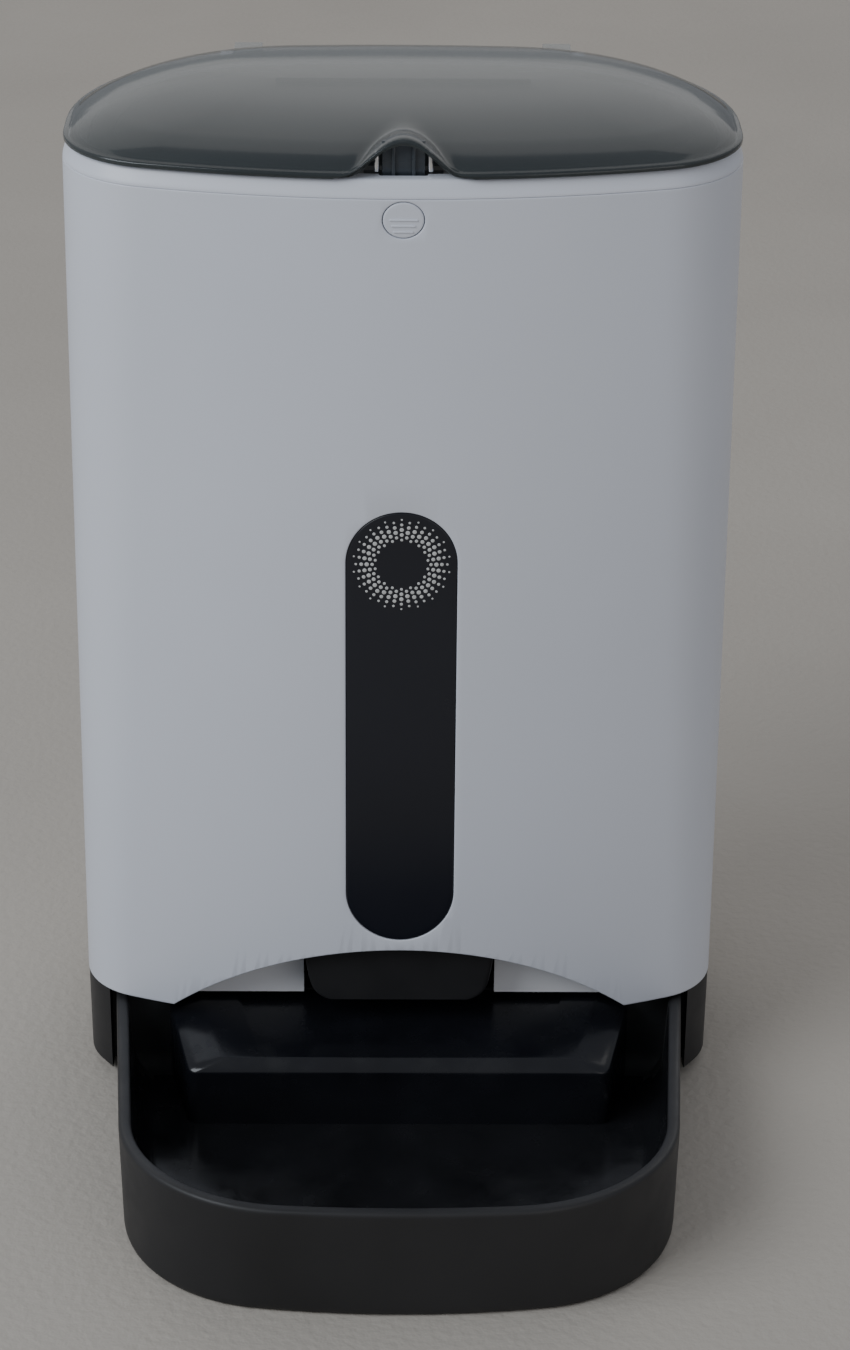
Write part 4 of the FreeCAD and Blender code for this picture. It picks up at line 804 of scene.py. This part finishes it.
CHUTE_WALL = 2.0
SPOUT_FRONT, SPOUT_BACK = -5.5, 15
DUCT_FRONT, DUCT_BACK = 22, 55
SPOUT_RISES = (0.8, 1.6, 2.8, 4.2, 6, 12, 18, 25)
outer = []
for z in [chute_low.z + rise for rise in (0, 0.25, *SPOUT_RISES)]:
    chamfer = 0.5 - 2 * (z - chute_low.z) if z < chute_low.z + 0.25 else 0
    outer.append(at_level(rounded_plan(chute_half(z, 0), SPOUT_FRONT + chamfer, SPOUT_BACK, 2.4), z))
outer.append(at_level(rounded_plan(DUCT_HALF, DUCT_FRONT, DUCT_BACK, 2.4), chute_high.z))
inner = []
for z in [chute_low.z + rise for rise in (0.02, 0.27, *SPOUT_RISES)]:
    spout = rounded_plan(chute_half(z, CHUTE_WALL), SPOUT_FRONT + CHUTE_WALL, SPOUT_BACK - CHUTE_WALL, 1.2)
    inner.append(at_level(spout, z))
duct = rounded_plan(DUCT_HALF - CHUTE_WALL, DUCT_FRONT + CHUTE_WALL, DUCT_BACK - CHUTE_WALL, 1.2)
inner.append(at_level(duct, chute_high.z))
chute = to_object("chute_duct", skin(outer + list(reversed(inner)), True), "black_plastic")
piece(chute, "housing", "black_plastic", "chute")

# ---------------------------------------------------------------- keys and inlet at the back
for name, body, side in (("setup_key", "setup", -1), ("record_key", "record", 1)):
    y = back_y(KEY_X, KEY_Z)
    key = lathe(((-0.6, 0.2), (-0.55, 2.5), (-0.4, 4.0), (-0.1, 4.7), (0.4, 5.0), (1.6, 5.0), (2.7, 5.0),
                 (2.7, 6.4), (4.1, 6.4), (4.1, 1.5), (8.4, 1.5), (8.4, 0.2)), 0, 0, 0, "Y")
    bmesh.ops.transform(key, matrix=Matrix.Translation(Vector((side * KEY_X, y + 0.1, KEY_Z)) * MM)
                        @ Matrix.Scale(-1, 4, (0, 1, 0)), verts=key.verts)
    bmesh.ops.recalc_face_normals(key, faces=key.faces)
    piece(to_object(f"{name}_cap", key, "black_plastic"), body, "black_plastic", name)

jack_low, jack_high = node_box("dc_jack")
jack = lathe(((0, 0.5), (0, 5.3), (0.3, 5.45), (13.1, 5.45), (13.4, 5.2), (13.4, 3.4), (13.1, 3.1), (4, 3.0),
              (4, 1.0), (10.4, 1.0), (11.2, 0.7), (11.4, 0.2)),
             (jack_low.x + jack_high.x) / 2, jack_low.y, (jack_low.z + jack_high.z) / 2)
piece(to_object("inlet_socket", jack, "chip_black"), "housing", "chip_black", "dc_jack")

# ---------------------------------------------------------------- floor, light and camera
floor_material = surface("floor_cloth", (0.41, 0.378, 0.335), 0.9, tint=0.035, mottle=6, grain=260,
                         depth=0.0009)
floor_mesh = bmesh.new()
bmesh.ops.create_grid(floor_mesh, x_segments=8, y_segments=8, size=6)
floor_data = bpy.data.meshes.new("studio_floor")
floor_mesh.to_mesh(floor_data)
floor_mesh.free()
floor = bpy.data.objects.new("studio_floor", floor_data)
bpy.context.scene.collection.objects.link(floor)
floor_data.materials.append(floor_material)

world = bpy.data.worlds.new("studio")
bpy.context.scene.world = world
world.use_nodes = True
world.node_tree.nodes["Background"].inputs["Color"].default_value = (0.80, 0.84, 0.92, 1)
world.node_tree.nodes["Background"].inputs["Strength"].default_value = 0.42


def softbox(name, place, target, size, power, colour):
    """Rectangular lamp aimed at a target."""
    lamp = bpy.data.lights.new(name, "AREA")
    lamp.shape = "RECTANGLE"
    lamp.size, lamp.size_y = size
    lamp.energy = power
    lamp.color = colour
    item = bpy.data.objects.new(name, lamp)
    item.location = place
    item.rotation_euler = (Vector(target) - Vector(place)).to_track_quat("-Z", "Y").to_euler()
    bpy.context.scene.collection.objects.link(item)


softbox("window", (-1.5, -0.9, 1.5), (0, 0, 0.12), (1.6, 1.2), 33, (0.90, 0.95, 1.0))
softbox("ceiling", (0.2, 2.6, 2.3), (0, 0, 0.3), (5.0, 3.4), 34, (1.0, 0.97, 0.93))
softbox("fill", (1.2, -1.8, 0.7), (0, 0, 0.2), (1.4, 1.2), 5, (1.0, 0.95, 0.90))

CAMERA_PLACE = (-0.0050, -1.1109, 0.7330)
CAMERA_TURN, CAMERA_DOWN, CAMERA_ROLL = -0.012, 0.468, 0.009
camera_data = bpy.data.cameras.new("camera")
camera_data.sensor_width = 36
camera_data.lens = 96.06
camera = bpy.data.objects.new("camera", camera_data)
camera.matrix_world = (Matrix.Translation(CAMERA_PLACE) @ Matrix.Rotation(CAMERA_TURN, 4, "Z")
                       @ Matrix.Rotation(math.pi / 2 - CAMERA_DOWN, 4, "X")
                       @ Matrix.Rotation(CAMERA_ROLL, 4, "Z"))
bpy.context.scene.collection.objects.link(camera)
bpy.context.scene.camera = camera
